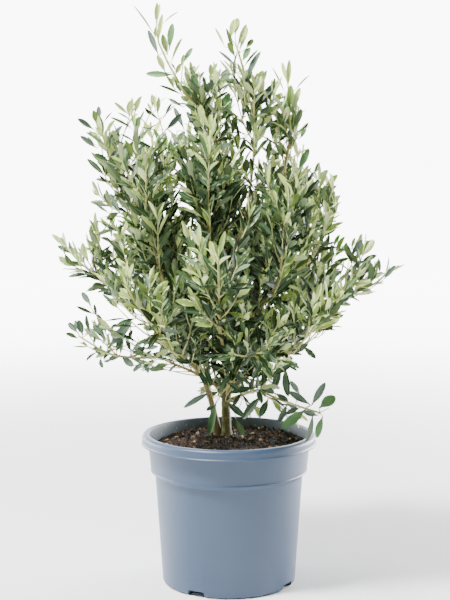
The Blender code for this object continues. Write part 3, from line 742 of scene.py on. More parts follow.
class Tree:
    """A Geometry Nodes tree that is written node by node."""

    def __init__(self, name: str) -> None:
        """Start a tree with one geometry in and one out."""
        self.group = bpy.data.node_groups.new(name, "GeometryNodeTree")
        self.group.interface.new_socket("Geometry", in_out="INPUT", socket_type="NodeSocketGeometry")
        self.group.interface.new_socket("Geometry", in_out="OUTPUT", socket_type="NodeSocketGeometry")
        self.start = self.group.nodes.new("NodeGroupInput")
        self.end = self.group.nodes.new("NodeGroupOutput")
        self.values: dict[str, Any] = {}

    def given(self, name: str, kind: str, value: Any) -> NodeSocket:
        """Add a named input.

        Args:
            name: The input's name.
            kind: Its socket type.
            value: What the modifier gives it.

        Returns:
            The socket that carries it inside the tree.
        """
        socket = self.group.interface.new_socket(name, in_out="INPUT", socket_type=kind)
        self.values[socket.identifier] = value
        return self.start.outputs[name]

    def node(self, kind: str, settings: Settings | None = None, feeds: Feeds | None = None) -> Node:
        """Add one node.

        Args:
            kind: The node's type.
            settings: Its own settings.
            feeds: A socket or a plain value for each input that is named.

        Returns:
            The node.
        """
        node = self.group.nodes.new(kind)
        for name, setting in (settings or {}).items():
            setattr(node, name, setting)
        for key, feed in (feeds or {}).items():
            if isinstance(feed, NodeSocket):
                self.group.links.new(feed, node.inputs[key])
            else:
                node.inputs[key].default_value = feed
        return node

    def random(self, kind: str, output: int, feeds: Feeds) -> NodeSocket:
        """Random value of a type for every point."""
        return self.node("FunctionNodeRandomValue", {"data_type": kind}, feeds).outputs[output]

    def attribute(self, name: str, kind: str) -> NodeSocket:
        """Output that reads a named attribute of the geometry."""
        return self.node("GeometryNodeInputNamedAttribute", {"data_type": kind}, {"Name": name}).outputs[0]

    def is_number(self, value: NodeSocket, number: int) -> NodeSocket:
        """Whether a whole number is this one."""
        settings = {"data_type": "INT", "operation": "EQUAL"}
        return self.node("FunctionNodeCompare", settings, {2: value, 3: number}).outputs[0]

    def paint(self, geometry: NodeSocket, chosen: NodeSocket, material: Material) -> NodeSocket:
        """Give the chosen faces a material."""
        feeds = {"Geometry": geometry, "Selection": chosen, "Material": material}
        return self.node("GeometryNodeSetMaterial", feeds=feeds).outputs[0]

    def copies(self, stock: Any, places: Feeds) -> NodeSocket:
        """Set a shape on every point and join them all.

        Args:
            stock: The collection of shapes, or the socket that carries it.
            places: Points, Instance Index, Rotation and Scale of the copies.

        Returns:
            The joined shapes.
        """
        feeds = {"Collection": stock, "Separate Children": True, "Reset Children": True}
        source = self.node("GeometryNodeCollectionInfo", feeds=feeds)
        feeds = {"Instance": source.outputs[0], "Pick Instance": True, **places}
        copies = self.node("GeometryNodeInstanceOnPoints", feeds=feeds)
        return self.node("GeometryNodeRealizeInstances", feeds={"Geometry": copies.outputs[0]}).outputs[0]

    def run(self, obj: Object, geometry: NodeSocket) -> Mesh:
        """Run the tree on an object.

        Args:
            obj: The object that gives the geometry.
            geometry: The socket that holds the result.

        Returns:
            The result as a plain mesh.
        """
        self.group.links.new(geometry, self.end.inputs[0])
        modifier = obj.modifiers.new("Grow", "NODES")
        modifier.node_group = self.group
        for identifier, value in self.values.items():
            modifier[identifier] = value
        mesh = evaluated_mesh(obj)
        obj.modifiers.remove(modifier)
        return mesh


def hidden_collection(name: str, meshes: Sequence[Mesh]) -> Collection:
    """Collection of shapes to copy, in order, which isn't linked to the scene."""
    collection = bpy.data.collections.new(name)
    for index, mesh in enumerate(meshes):
        collection.objects.link(bpy.data.objects.new(f"{name}_{index:02d}", mesh))
    return collection


def remove_collection(collection: Collection) -> None:
    """Remove a collection with the objects in it."""
    for obj in list(collection.objects):
        bpy.data.objects.remove(obj, do_unlink=True)
    bpy.data.collections.remove(collection)


# Compost


class Loose(NamedTuple):
    """A kind of loose bits: shapes with their seeds, bits on a square metre, smallest and largest size."""

    name: str
    shapes: tuple[tuple[BitShape, int], ...]
    density: float
    sizes: tuple[float, float]
    tints: tuple[Peat, ...]
    seed: int


LOOSE = (
    Loose(
        "compost_crumbs",
        tuple((BitShape.CRUMB, seed) for seed in range(5)),
        60000.0,
        (0.0012, 0.0036),
        (
            Peat("crumb_dark", (0.003, 0.002, 0.002), (0.014, 0.008, 0.005)),
            Peat("crumb_brown", (0.012, 0.006, 0.004), (0.044, 0.024, 0.014)),
            Peat("crumb_rust", (0.034, 0.017, 0.009), (0.090, 0.048, 0.026)),
        ),
        3,
    ),
    Loose(
        "compost_chips",
        tuple((BitShape.CHIP, seed) for seed in range(20, 24)),
        26000.0,
        (0.0030, 0.0075),
        (
            Peat("chip_bark", (0.022, 0.011, 0.006), (0.066, 0.036, 0.020)),
            Peat("chip_dark", (0.005, 0.003, 0.002), (0.020, 0.012, 0.007)),
            Peat("chip_tan", (0.090, 0.050, 0.026), (0.180, 0.112, 0.062)),
        ),
        5,
    ),
    Loose(
        "compost_fibres",
        ((BitShape.FIBRE, 40), (BitShape.CRUMB, 41), (BitShape.FIBRE, 42)),
        9000.0,
        (0.0018, 0.0080),
        (
            Peat("fibre_straw", (0.360, 0.270, 0.160), (0.560, 0.460, 0.310)),
            Peat("fibre_brown", (0.120, 0.072, 0.040), (0.240, 0.156, 0.092)),
        ),
        8,
    ),
)


@dataclass
class Compost:
    """Moist potting compost with crumbs, bark chips and pale fibres, lower at the left and the front."""

    pot: Pot
    top: float = 0.1965
    slope_to_left: float = 0.0085
    slope_to_front: float = 0.0060
    edge_sink: float = 0.0040
    plateau: float = 0.0380
    gap: float = 0.0006
    rings: int = 72
    spokes: int = 210
    stem_foot: Vector = field(default_factory=lambda: Vector((-0.0035, 0.0300, 0.1968)))

    def height(self, x: float, y: float) -> float:
        """Height of the bed without its crumbs.

        Args:
            x: Place to the right.
            y: Place to the back.

        Returns:
            The height there.
        """
        away = math.hypot(x - self.stem_foot.x, y - self.stem_foot.y)
        share = min(1.0, max(0.0, (away - self.plateau) / (self.pot.mouth_radius - self.plateau)))
        left = max(0.0, -x / self.pot.mouth_radius) * self.slope_to_left
        front = max(0.0, -y / self.pot.mouth_radius) * self.slope_to_front
        return self.top - share * (self.edge_sink + left + front)

    def relief(self, x: float, y: float) -> float:
        """Lumps, crumbs and grains of the bed."""
        place = Vector((x, y, 0.0))
        lumps = noise.noise(place * 62.0) * 0.0016
        crumbs = noise.noise(place * 190.0) * 0.0013
        grains = noise.noise(place * 520.0) * 0.0007
        return lumps + crumbs + grains - 0.0006

    def bed(self) -> Object:
        """Closed bed: its rough top, and its sides down to the pot's floor.

        Returns:
            The bed's object.
        """
        pot = self.pot
        points = self.rough_top(pot.inside(self.top) - self.gap, self.rings, self.spokes)
        floor = pot.floor + self.gap
        for height in (pot.collar_foot, pot.body_top, pot.ring_height + self.gap):
            points += self.level_ring(pot.inside(height) - self.gap, height)
        reach = pot.foot_radius - pot.ring_width - 2 * self.gap
        points += self.level_ring(reach, pot.ring_height + self.gap)
        points += self.level_ring(reach - 0.004, floor)
        faces = ring_faces(self.rings + 5, self.spokes)
        middle, under = len(points), len(points) + 1
        points += [Vector((0.0, 0.0, self.top + self.relief(0.0, 0.0))), Vector((0.0, 0.0, floor))]
        last = middle - self.spokes
        for spoke in range(self.spokes):
            nxt = (spoke + 1) % self.spokes
            faces.append((middle, nxt, spoke))
            faces.append((under, last + spoke, last + nxt))
        mesh = mesh_from("compost_bed", points, faces)
        mesh.materials.append(Peat("compost_mix", (0.004, 0.003, 0.002), (0.022, 0.013, 0.008)).material())
        return add_object("compost_bed", mesh)

    def rough_top(self, widest: float, rings: int, spokes: int) -> list[Vector]:
        """Points of the rough top, ring by ring, each kept inside the pot's wall.

        Args:
            widest: Radius of the outer ring.
            rings: How many rings there are.
            spokes: How many points each ring has.

        Returns:
            The points.
        """
        points = []
        for ring in range(1, rings + 1):
            reach = widest * ring / rings
            for spoke in range(spokes):
                angle = math.tau * spoke / spokes
                x, y = reach * math.cos(angle), reach * math.sin(angle)
                height = self.height(x, y) + self.relief(x, y)
                shrink = min(1.0, (self.pot.inside(height) - self.gap) / reach)
                points.append(Vector((x * shrink, y * shrink, height)))
        return points

    def level_ring(self, reach: float, height: float) -> list[Vector]:
        """Points of a level ring, one on each spoke."""
        return [around(reach, math.tau * spoke / self.spokes, height) for spoke in range(self.spokes)]

    def open_top(self) -> Object:
        """Make the part of the top that bits may lie on, as its own sheet.

        Returns:
            The sheet.
        """
        rings, spokes = 24, 72
        points = self.rough_top(self.pot.inside(self.top - 0.018) - 0.0045, rings, spokes)
        faces = ring_faces(rings, spokes)
        middle = len(points)
        points.append(Vector((0.0, 0.0, self.height(0.0, 0.0))))
        faces += [(middle, spoke, (spoke + 1) % spokes) for spoke in range(spokes)]
        return add_object("compost_top", mesh_from("compost_top", points, faces))

    def scatter(self, loose: Loose) -> Object:
        """Strew one kind of bits over the top.

        Args:
            loose: The kind.

        Returns:
            The piece, all bits joined.
        """
        tints = [peat.material() for peat in loose.tints]
        shapes = [bit_mesh(shape, seed) for shape, seed in loose.shapes]
        stock = hidden_collection(loose.name + "_shapes", shapes)
        tree = Tree(loose.name + "_scatter")
        thick = tree.given("Density", "NodeSocketFloat", loose.density)
        small = tree.given("Smallest", "NodeSocketFloat", loose.sizes[0])
        large = tree.given("Largest", "NodeSocketFloat", loose.sizes[1])
        start = tree.given("Seed", "NodeSocketInt", loose.seed)
        feeds = {"Mesh": tree.start.outputs[0], "Density": thick, "Seed": start}
        spread = tree.node("GeometryNodeDistributePointsOnFaces", feeds=feeds)
        tint = tree.random("INT", 2, {4: 0, 5: len(tints) - 1, "Seed": start})
        feeds = {"Geometry": spread.outputs["Points"], "Name": "tint", "Value": tint}
        kept = tree.node("GeometryNodeStoreNamedAttribute", {"data_type": "INT", "domain": "POINT"}, feeds)
        places = {
            "Points": kept.outputs[0],
            "Instance Index": tree.random("INT", 2, {4: 0, 5: len(shapes) - 1, "Seed": start}),
            "Rotation": tree.random("FLOAT_VECTOR", 0, {1: (math.tau, math.tau, math.tau), "Seed": start}),
            "Scale": tree.random("FLOAT", 1, {2: small, 3: large, "Seed": start}),
        }
        joined = tree.copies(stock, places)
        for index, material in enumerate(tints):
            joined = tree.paint(joined, tree.is_number(tree.attribute("tint", "INT"), index), material)
        sheet = self.open_top()
        mesh = tree.run(sheet, joined)
        bpy.data.objects.remove(sheet, do_unlink=True)
        remove_collection(stock)
        mesh.name = loose.name
        return add_object(loose.name, mesh)

    def build(self) -> None:
        """Make the bed and everything loose on it."""
        mount(self.bed(), "compost", "compost")
        for loose in LOOSE:
            mount(self.scatter(loose), "compost", "compost")


# Growth rule that the stems, boughs, twigs and leaves follow


class Girth(NamedTuple):
    """How far the crown reaches to each side at one height."""

    height: float
    left: float
    right: float
    depth: float


CROWN_MIDDLE = 0.0080
CROWN = tuple(
    Girth(*row)
    for row in (
        (0.190, 0.030, 0.120, 0.050), (0.262, 0.060, 0.110, 0.110), (0.290, 0.110, 0.110, 0.150),
        (0.312, 0.176, 0.120, 0.185), (0.360, 0.216, 0.150, 0.205), (0.400, 0.204, 0.190, 0.215),
        (0.436, 0.224, 0.236, 0.215), (0.474, 0.242, 0.190, 0.215), (0.510, 0.186, 0.152, 0.200),
        (0.570, 0.180, 0.128, 0.175), (0.640, 0.188, 0.104, 0.150), (0.658, 0.140, 0.092, 0.140),
        (0.676, 0.074, 0.072, 0.128), (0.700, 0.060, 0.060, 0.116), (0.720, 0.030, 0.030, 0.060),
    )
)


class Stem(NamedTuple):
    """A limb: where it starts, where it ends and how thick it is."""

    name: str
    parent: str
    share: float
    tip: Triple
    root_radius: float
    tip_radius: float
    lift: float


class Mass(NamedTuple):
    """A mass of foliage at the end of its limb, named like its node without _foliage."""

    name: str
    tip: Triple
    spread: float
    openness: float = 1.0
    sag: float = 0.0
    last: float = 0.70

    @property
    def limb(self) -> str:
        """Limb whose tip the mass grows on."""
        return STEM_MASSES.get(self.name, self.name + "_bough")


LIMBS = (
    Stem("leader", "trunk", 1.00, (-0.004, 0.022, 0.545), 0.0056, 0.0026, 0.6),
    Stem("left_stem", "ground", 0.00, (-0.108, 0.018, 0.450), 0.0045, 0.0022, 0.0),
    Stem("right_stem", "trunk", 0.78, (0.064, 0.016, 0.500), 0.0046, 0.0024, 0.3),
    Stem("right_bough", "right_stem", 0.08, (0.096, 0.004, 0.360), 0.0034, 0.0020, -0.3),
    Stem("low_right_bough", "trunk", 0.80, (0.036, -0.016, 0.268), 0.0024, 0.0017, 0.3),
    Stem("low_left_bough", "trunk", 0.90, (-0.096, -0.006, 0.313), 0.0026, 0.0017, 0.9),
    Stem("top_centre_bough", "leader", 0.44, (0.026, 0.002, 0.520), 0.0029, 0.0021, 0.3),
    Stem("top_back_bough", "leader", 0.34, (-0.022, 0.068, 0.460), 0.0030, 0.0020, 0.1),
    Stem("top_front_bough", "leader", 0.28, (-0.022, -0.026, 0.430), 0.0029, 0.0020, 0.1),
    Stem("upper_left_front_bough", "left_stem", 0.52, (-0.084, -0.028, 0.412), 0.0026, 0.0018, 0.2),
    Stem("upper_left_back_bough", "left_stem", 0.58, (-0.086, 0.070, 0.440), 0.0026, 0.0018, 0.1),
    Stem("middle_left_bough", "left_stem", 0.45, (-0.118, 0.012, 0.374), 0.0024, 0.0016, -0.2),
    Stem("middle_left_front_bough", "left_stem", 0.32, (-0.062, -0.030, 0.316), 0.0024, 0.0016, 0.0),
    Stem("middle_left_back_bough", "left_stem", 0.38, (-0.076, 0.088, 0.350), 0.0025, 0.0017, 0.0),
    Stem("low_back_bough", "left_stem", 0.18, (-0.034, 0.096, 0.304), 0.0024, 0.0017, 0.1),
    Stem("low_front_bough", "trunk", 0.92, (0.018, -0.042, 0.312), 0.0024, 0.0017, 0.3),
    Stem("middle_front_bough", "leader", 0.13, (-0.010, -0.054, 0.348), 0.0026, 0.0018, 0.1),
    Stem("middle_back_bough", "leader", 0.20, (0.010, 0.100, 0.376), 0.0026, 0.0018, 0.1),
    Stem("upper_right_bough", "right_stem", 0.50, (0.092, 0.006, 0.428), 0.0026, 0.0018, -0.1),
    Stem("upper_right_back_bough", "right_stem", 0.56, (0.070, 0.072, 0.452), 0.0026, 0.0018, 0.1),
    Stem("upper_right_front_bough", "right_stem", 0.40, (0.050, -0.034, 0.394), 0.0026, 0.0018, 0.1),
    Stem("middle_right_front_bough", "right_stem", 0.24, (0.062, -0.042, 0.320), 0.0025, 0.0017, -0.1),
    Stem("middle_right_back_bough", "right_stem", 0.28, (0.070, 0.082, 0.344), 0.0025, 0.0017, 0.0),
)

# Masses on a stem or a bough that isn't named after them
STEM_MASSES = {
    "top_left": "leader",
    "top_right": "right_stem",
    "upper_left": "left_stem",
    "middle_right": "right_bough",
}

MASSES = tuple(
    Mass(*row)
    for row in (
        ("top_left", (-0.094, 0.008, 0.787), 0.056, 1.00, 0.0, 0.42),
        ("top_centre", (0.012, -0.004, 0.764), 0.056, 1.00, 0.0, 0.46),
        ("top_right", (0.081, 0.006, 0.713), 0.056, 1.00, 0.0, 0.60),
        ("top_back", (-0.036, 0.106, 0.690), 0.074), ("top_front", (-0.024, -0.078, 0.640), 0.074),
        ("upper_left", (-0.180, 0.004, 0.652), 0.064, 1.10),
        ("upper_left_front", (-0.124, -0.070, 0.640), 0.072),
        ("upper_left_back", (-0.112, 0.108, 0.640), 0.072), ("middle_left", (-0.231, 0.004, 0.480), 0.070),
        ("middle_left_front", (-0.136, -0.134, 0.440), 0.076),
        ("middle_left_back", (-0.140, 0.156, 0.490), 0.076),
        ("low_left", (-0.212, -0.012, 0.364), 0.050, 2.60, 0.15), ("low_back", (-0.060, 0.186, 0.372), 0.070),
        ("low_front", (0.052, -0.158, 0.362), 0.066, 1.30), ("middle_front", (-0.014, -0.170, 0.480), 0.076),
        ("middle_back", (0.020, 0.196, 0.510), 0.076), ("upper_right", (0.146, 0.000, 0.570), 0.064),
        ("upper_right_back", (0.110, 0.118, 0.622), 0.072),
        ("upper_right_front", (0.090, -0.098, 0.574), 0.072),
        ("middle_right", (0.226, 0.000, 0.441), 0.066, 1.10),
        ("middle_right_front", (0.138, -0.126, 0.424), 0.074),
        ("middle_right_back", (0.150, 0.150, 0.464), 0.076),
        ("low_right", (0.138, -0.064, 0.244), 0.044, 2.60, 0.20),
    )
)


# Stems of the masses whose leaves can be told apart, point by point in millimetres
COURSES = {
    "low_left": (
        (-115, -9, 311), (-134, -10, 312), (-151, -10, 314), (-164, -11, 318), (-178, -11, 325),
        (-188, -12, 332), (-198, -12, 338), (-203, -12, 342),
    ),
    "low_right": (
        (45, -24, 268), (52, -30, 265), (63, -36, 261), (76, -44, 257), (89, -52, 254),
        (102, -60, 251), (115, -66, 248), (121, -68, 246),
    ),
    "top_left": (
        (-9, 20, 574), (-18, 16, 605), (-27, 13, 632), (-39, 11, 649), (-50, 10, 659), (-60, 9, 668),
        (-67, 8, 681), (-74, 8, 694), (-82, 8, 708), (-88, 8, 721), (-94, 7, 734), (-96, 6, 746),
        (-97, 6, 757),
    ),
    "top_centre": (
        (31, 2, 562), (34, 1, 592), (33, 0, 618), (32, -1, 637), (29, -2, 653), (25, -2, 667), (23, -3, 685),
        (19, -3, 699), (16, -4, 709), (13, -4, 719), (9, -4, 730),
    ),
    "top_right": (
        (71, 13, 538), (76, 10, 572), (81, 8, 598), (82, 6, 619), (81, 6, 641), (80, 6, 665), (79, 6, 678),
    ),
}

# Twigs that stand out, point by point in millimetres
LONE_TWIGS = (
    (
        (-165, -11, 318), (-164, -12, 329), (-164, -14, 339), (-169, -16, 352),
        (-176, -18, 366), (-183, -20, 377), (-189, -21, 388),
    ),
    ((119, -67, 247), (125, -69, 250), (132, -70, 254)),
    ((-9, 12, 592), (-13, 8, 612), (-15, 4, 629), (-19, 1, 652), (-23, -1, 671), (-24, -2, 689)),
    ((-60, 9, 667), (-64, 6, 680), (-63, 4, 695), (-61, 2, 707)),
    ((-34, 11, 643), (-39, 8, 656), (-43, 6, 665), (-46, 4, 680), (-48, 3, 693)),
    (
        (-133, 10, 511), (-147, 8, 527), (-159, 6, 542), (-166, 4, 554), (-167, 3, 568),
        (-169, 2, 582), (-171, 1, 596), (-174, 0, 614), (-179, -1, 630),
    ),
    ((-119, -10, 552), (-124, -8, 585), (-124, -8, 602), (-125, -8, 620), (-128, -8, 632), (-132, -8, 643)),
    ((-82, -24, 530), (-87, -28, 568), (-87, -30, 596), (-88, -30, 619), (-92, -30, 632), (-95, -30, 644)),
    ((93, 0, 487), (105, 0, 509), (119, 0, 529), (128, 0, 544)),
    ((121, 0, 427), (135, 0, 445), (147, 0, 455), (161, 0, 457)),
    ((124, 6, 376), (144, 4, 385), (165, 2, 392), (185, 0, 400), (199, -1, 410), (209, -2, 417)),
)

# Leaves that stand out: the x and z of both ends and the width in millimetres, then the number of the tint.
# Their depth is that of the nearest stem or twig above, and the steps in millimetres deal out how far each
# tip lies behind its root.
# Each leaf's tint follows its tone as seen, so besides the leaf's own colour it holds painted shade: leaves
# that sit in shade are dealt darker tints.
LONE_LEAVES = (
    (-185, 384, -199, 402, 8, 7), (-181, 372, -204, 384, 5, 1), (-178, 369, -180, 387, 5, 1),
    (-166, 348, -179, 372, 8, 2), (-162, 344, -154, 360, 8, 2), (-166, 338, -184, 356, 10, 2),
    (-188, 346, -193, 370, 7, 1), (-198, 342, -202, 365, 10, 2), (-204, 345, -219, 360, 8, 2),
    (-204, 338, -218, 348, 8, 2), (-203, 348, -209, 363, 7, 2), (-168, 363, -141, 368, 3, 1),
    (-164, 324, -132, 363, 14, 7), (-153, 319, -145, 342, 10, 7), (-136, 337, -131, 350, 7, 1),
    (-133, 320, -140, 337, 6, 1), (-132, 320, -120, 334, 6, 7), (-132, 316, -112, 327, 8, 1),
    (-117, 325, -103, 343, 8, 7), (-116, 323, -96, 329, 7, 7), (-116, 311, -106, 321, 6, 1),
    (-131, 309, -118, 309, 5, 1), (-146, 313, -129, 300, 10, 7), (-147, 313, -166, 309, 8, 1),
    (-160, 323, -169, 313, 5, 2), (-174, 312, -174, 295, 7, 2), (-170, 306, -160, 310, 5, 1),
    (-173, 315, -184, 326, 8, 2), (-174, 315, -174, 327, 6, 2), (-148, 315, -143, 334, 5, 3),
    (-184, 329, -181, 341, 4, 1), (-97, 313, -81, 342, 8, 7), (-79, 310, -97, 340, 8, 7),
    (-79, 352, -106, 337, 8, 1), (-93, 359, -108, 350, 7, 1), (-108, 355, -126, 358, 6, 3),
    (-64, 311, -54, 337, 11, 7), (-65, 310, -76, 327, 6, 1), (-53, 306, -45, 321, 8, 2),
    (-28, 311, -40, 321, 6, 7), (-115, 307, -130, 291, 7, 7), (-116, 309, -109, 293, 8, 7),
    (-99, 310, -115, 300, 5, 1), (-69, 302, -84, 292, 7, 1), (-53, 334, -37, 336, 5, 1),
    (108, 256, 79, 273, 10, 7), (94, 269, 82, 288, 8, 7), (109, 255, 127, 287, 10, 7),
    (119, 253, 141, 268, 16, 6), (102, 250, 69, 227, 14, 6), (111, 247, 104, 202, 9, 7),
    (124, 243, 114, 216, 10, 6), (118, 243, 97, 249, 8, 7), (78, 255, 66, 225, 9, 7),
    (95, 251, 75, 246, 8, 7), (75, 259, 93, 244, 8, 7), (61, 268, 79, 257, 9, 7), (37, 280, 62, 266, 11, 7),
    (56, 261, 70, 239, 6, 4), (53, 259, 42, 237, 11, 2), (45, 263, 17, 228, 13, 2), (-4, 254, 21, 235, 10, 2),
    (69, 309, 60, 271, 11, 2), (75, 305, 81, 262, 12, 2), (47, 309, 48, 280, 9, 2), (59, 314, 40, 305, 9, 1),
    (70, 320, 99, 318, 5, 1), (68, 313, 92, 296, 5, 2), (69, 312, 93, 303, 4, 7), (87, 321, 107, 336, 10, 3),
    (70, 327, 35, 333, 8, 2), (17, 266, 5, 249, 8, 1), (16, 265, 28, 251, 4, 1), (-17, 254, -28, 204, 11, 6),
    (-20, 249, -31, 243, 6, 2), (-23, 268, -63, 244, 9, 7), (9, 231, 21, 208, 8, 3), (-14, 272, 5, 292, 9, 2),
    (10, 291, -6, 308, 10, 2), (25, 292, 9, 317, 9, 7), (25, 279, 5, 296, 12, 7), (38, 273, 1, 270, 9, 2),
    (32, 286, 45, 294, 8, 2), (-19, 292, -9, 270, 8, 2), (-34, 300, -23, 275, 8, 2),
    (-27, 274, -41, 292, 8, 2), (-2, 280, 15, 272, 8, 2), (60, 324, 48, 342, 9, 2), (22, 308, 40, 295, 8, 2),
    (15, 596, -21, 599, 11, 7), (-30, 594, -57, 613, 10, 3), (-17, 597, -34, 600, 7, 3),
    (-97, 758, -96, 787, 6, 4), (-95, 763, -93, 788, 5, 5), (-94, 737, -89, 771, 7, 5),
    (-98, 743, -129, 783, 3, 4), (-89, 759, -68, 775, 4, 4), (-99, 740, -98, 755, 4, 5),
    (-94, 717, -109, 753, 8, 7), (-82, 718, -87, 746, 10, 4), (-80, 724, -74, 760, 11, 6),
    (-78, 709, -60, 739, 5, 4), (-85, 695, -96, 718, 8, 5), (-74, 692, -113, 694, 9, 6),
    (-72, 672, -86, 690, 8, 5), (-74, 678, -75, 690, 7, 4), (-62, 665, -92, 679, 4, 3),
    (-64, 667, -71, 686, 7, 3), (-61, 649, -83, 662, 5, 1), (-85, 637, -73, 653, 4, 7),
    (-62, 706, -48, 727, 8, 6), (-64, 703, -60, 718, 5, 4), (-72, 692, -64, 707, 7, 5),
    (-52, 679, -61, 704, 8, 5), (-43, 664, -48, 695, 11, 6), (-42, 658, -58, 684, 10, 5),
    (-40, 686, -34, 695, 6, 3), (-48, 692, -52, 709, 5, 4), (-35, 654, -36, 678, 9, 6),
    (-71, 697, -77, 707, 4, 7), (-52, 654, -65, 665, 8, 4), (-126, 640, -118, 662, 8, 4),
    (-129, 640, -129, 661, 5, 5), (-97, 643, -99, 663, 5, 5), (-94, 639, -92, 662, 6, 5),
    (-101, 640, -108, 655, 4, 4), (-104, 637, -110, 647, 4, 1), (2, 739, 7, 764, 9, 5),
    (8, 744, 12, 766, 10, 4), (7, 720, -5, 752, 6, 4), (-5, 727, -19, 753, 4, 5), (8, 715, -2, 733, 7, 4),
    (11, 729, 24, 757, 8, 5), (14, 723, 26, 753, 7, 4), (14, 726, 19, 736, 5, 3), (23, 726, 32, 738, 8, 3),
    (18, 710, 27, 726, 11, 6), (19, 701, 38, 725, 4, 3), (14, 697, -14, 726, 4, 7), (23, 684, 39, 722, 11, 7),
    (29, 661, 45, 700, 13, 4), (21, 668, 1, 693, 4, 1), (19, 669, 2, 690, 3, 4), (34, 644, 64, 683, 13, 7),
    (35, 650, 37, 666, 7, 7), (26, 650, 18, 664, 8, 3), (36, 626, 64, 650, 14, 4), (38, 635, 54, 649, 8, 7),
    (27, 635, 23, 648, 4, 1), (20, 646, 14, 657, 3, 4), (17, 694, 12, 698, 4, 5), (30, 612, 22, 632, 8, 1),
    (51, 618, 41, 629, 4, 7), (19, 690, -1, 699, 3, 5), (-24, 688, -25, 706, 7, 5),
    (-22, 692, -16, 709, 5, 4), (-21, 673, 1, 694, 9, 3), (-14, 688, -1, 699, 5, 7), (-18, 667, 6, 684, 4, 7),
    (-18, 659, -2, 669, 4, 1), (-8, 648, 0, 668, 9, 6), (1, 659, 3, 666, 5, 1), (-9, 632, 4, 662, 9, 6),
    (-14, 644, -11, 663, 7, 5), (-23, 670, -24, 685, 7, 7), (-7, 626, 4, 641, 5, 1),
    (-27, 663, -32, 682, 7, 3), (-29, 671, -35, 690, 5, 7), (78, 681, 71, 710, 6, 5),
    (79, 676, 80, 711, 7, 5), (76, 666, 57, 702, 3, 4), (81, 639, 82, 678, 12, 4), (82, 641, 95, 675, 9, 5),
    (88, 671, 108, 693, 3, 4), (79, 626, 75, 663, 6, 6), (65, 629, 76, 646, 8, 7), (56, 619, 54, 642, 7, 7),
    (80, 607, 62, 633, 10, 6), (85, 618, 89, 639, 9, 6), (91, 633, 95, 651, 4, 3), (94, 615, 107, 628, 5, 1),
    (95, 607, 103, 620, 8, 6), (58, 607, 62, 630, 12, 3), (15, 607, 8, 629, 5, 1),
    (-178, 628, -180, 644, 8, 4), (-174, 631, -175, 651, 7, 7), (-181, 619, -203, 633, 8, 7),
    (-177, 594, -200, 610, 8, 7), (-180, 599, -191, 610, 3, 7), (-169, 609, -170, 635, 6, 7),
    (-168, 628, -157, 644, 3, 1), (-165, 614, -154, 631, 7, 4), (-166, 595, -144, 625, 8, 7),
    (-164, 582, -152, 602, 8, 4), (-161, 576, -146, 595, 8, 7), (-166, 556, -192, 581, 8, 1),
    (-164, 547, -174, 558, 4, 1), (-159, 512, -168, 534, 8, 7), (-161, 506, -182, 519, 4, 1),
    (-133, 532, -157, 564, 9, 6), (-133, 638, -153, 655, 5, 4), (-130, 631, -149, 640, 5, 3),
    (-127, 619, -157, 637, 4, 3), (-123, 601, -147, 615, 3, 3), (-122, 618, -119, 635, 8, 6),
    (-121, 627, -113, 645, 3, 7), (-129, 590, -150, 604, 7, 7), (-127, 580, -140, 605, 8, 4),
    (-123, 579, -117, 599, 10, 7), (-136, 568, -138, 585, 7, 1), (-90, 629, -111, 646, 4, 1),
    (-88, 632, -73, 652, 4, 7), (-84, 617, -62, 640, 8, 7), (-59, 618, -73, 650, 7, 7),
    (-94, 617, -116, 622, 3, 7), (-86, 587, -101, 619, 8, 6), (-90, 582, -120, 606, 7, 1),
    (-89, 578, -110, 595, 8, 3), (-75, 594, -58, 618, 9, 6), (-73, 575, -78, 603, 10, 6),
    (-83, 589, -85, 614, 8, 4), (-70, 585, -62, 602, 7, 3), (93, 564, 108, 593, 10, 6),
    (115, 559, 122, 576, 6, 1), (90, 549, 110, 567, 6, 6), (120, 551, 134, 566, 8, 6),
    (130, 543, 145, 558, 8, 4), (127, 530, 144, 545, 7, 7), (138, 518, 151, 532, 5, 1),
    (136, 516, 142, 531, 10, 6), (132, 502, 152, 525, 4, 3), (129, 493, 141, 508, 8, 4),
    (120, 484, 139, 494, 8, 7), (120, 476, 134, 480, 5, 1), (133, 462, 136, 480, 6, 3),
    (141, 461, 150, 479, 6, 6), (144, 455, 154, 476, 8, 4), (158, 453, 158, 468, 7, 6),
    (166, 459, 171, 475, 5, 4), (165, 450, 179, 472, 8, 7), (165, 440, 183, 455, 6, 6),
    (159, 423, 180, 444, 7, 7), (178, 401, 182, 425, 8, 1), (184, 399, 188, 420, 8, 4),
    (193, 409, 191, 443, 8, 3), (200, 424, 201, 443, 3, 4), (204, 426, 202, 446, 5, 3),
    (209, 417, 225, 437, 7, 7),
)
LONE_STEPS = (8, -10, -4, 10, -12)


def from_millimetres(point: Sequence[float]) -> Vector:
    """A point in metres."""
    return Vector(point) * 0.001


class Spray(NamedTuple):
    """A shoot that stands out: its stem, its place on it and its own tip."""

    stem: str
    share: float
    tip: Triple


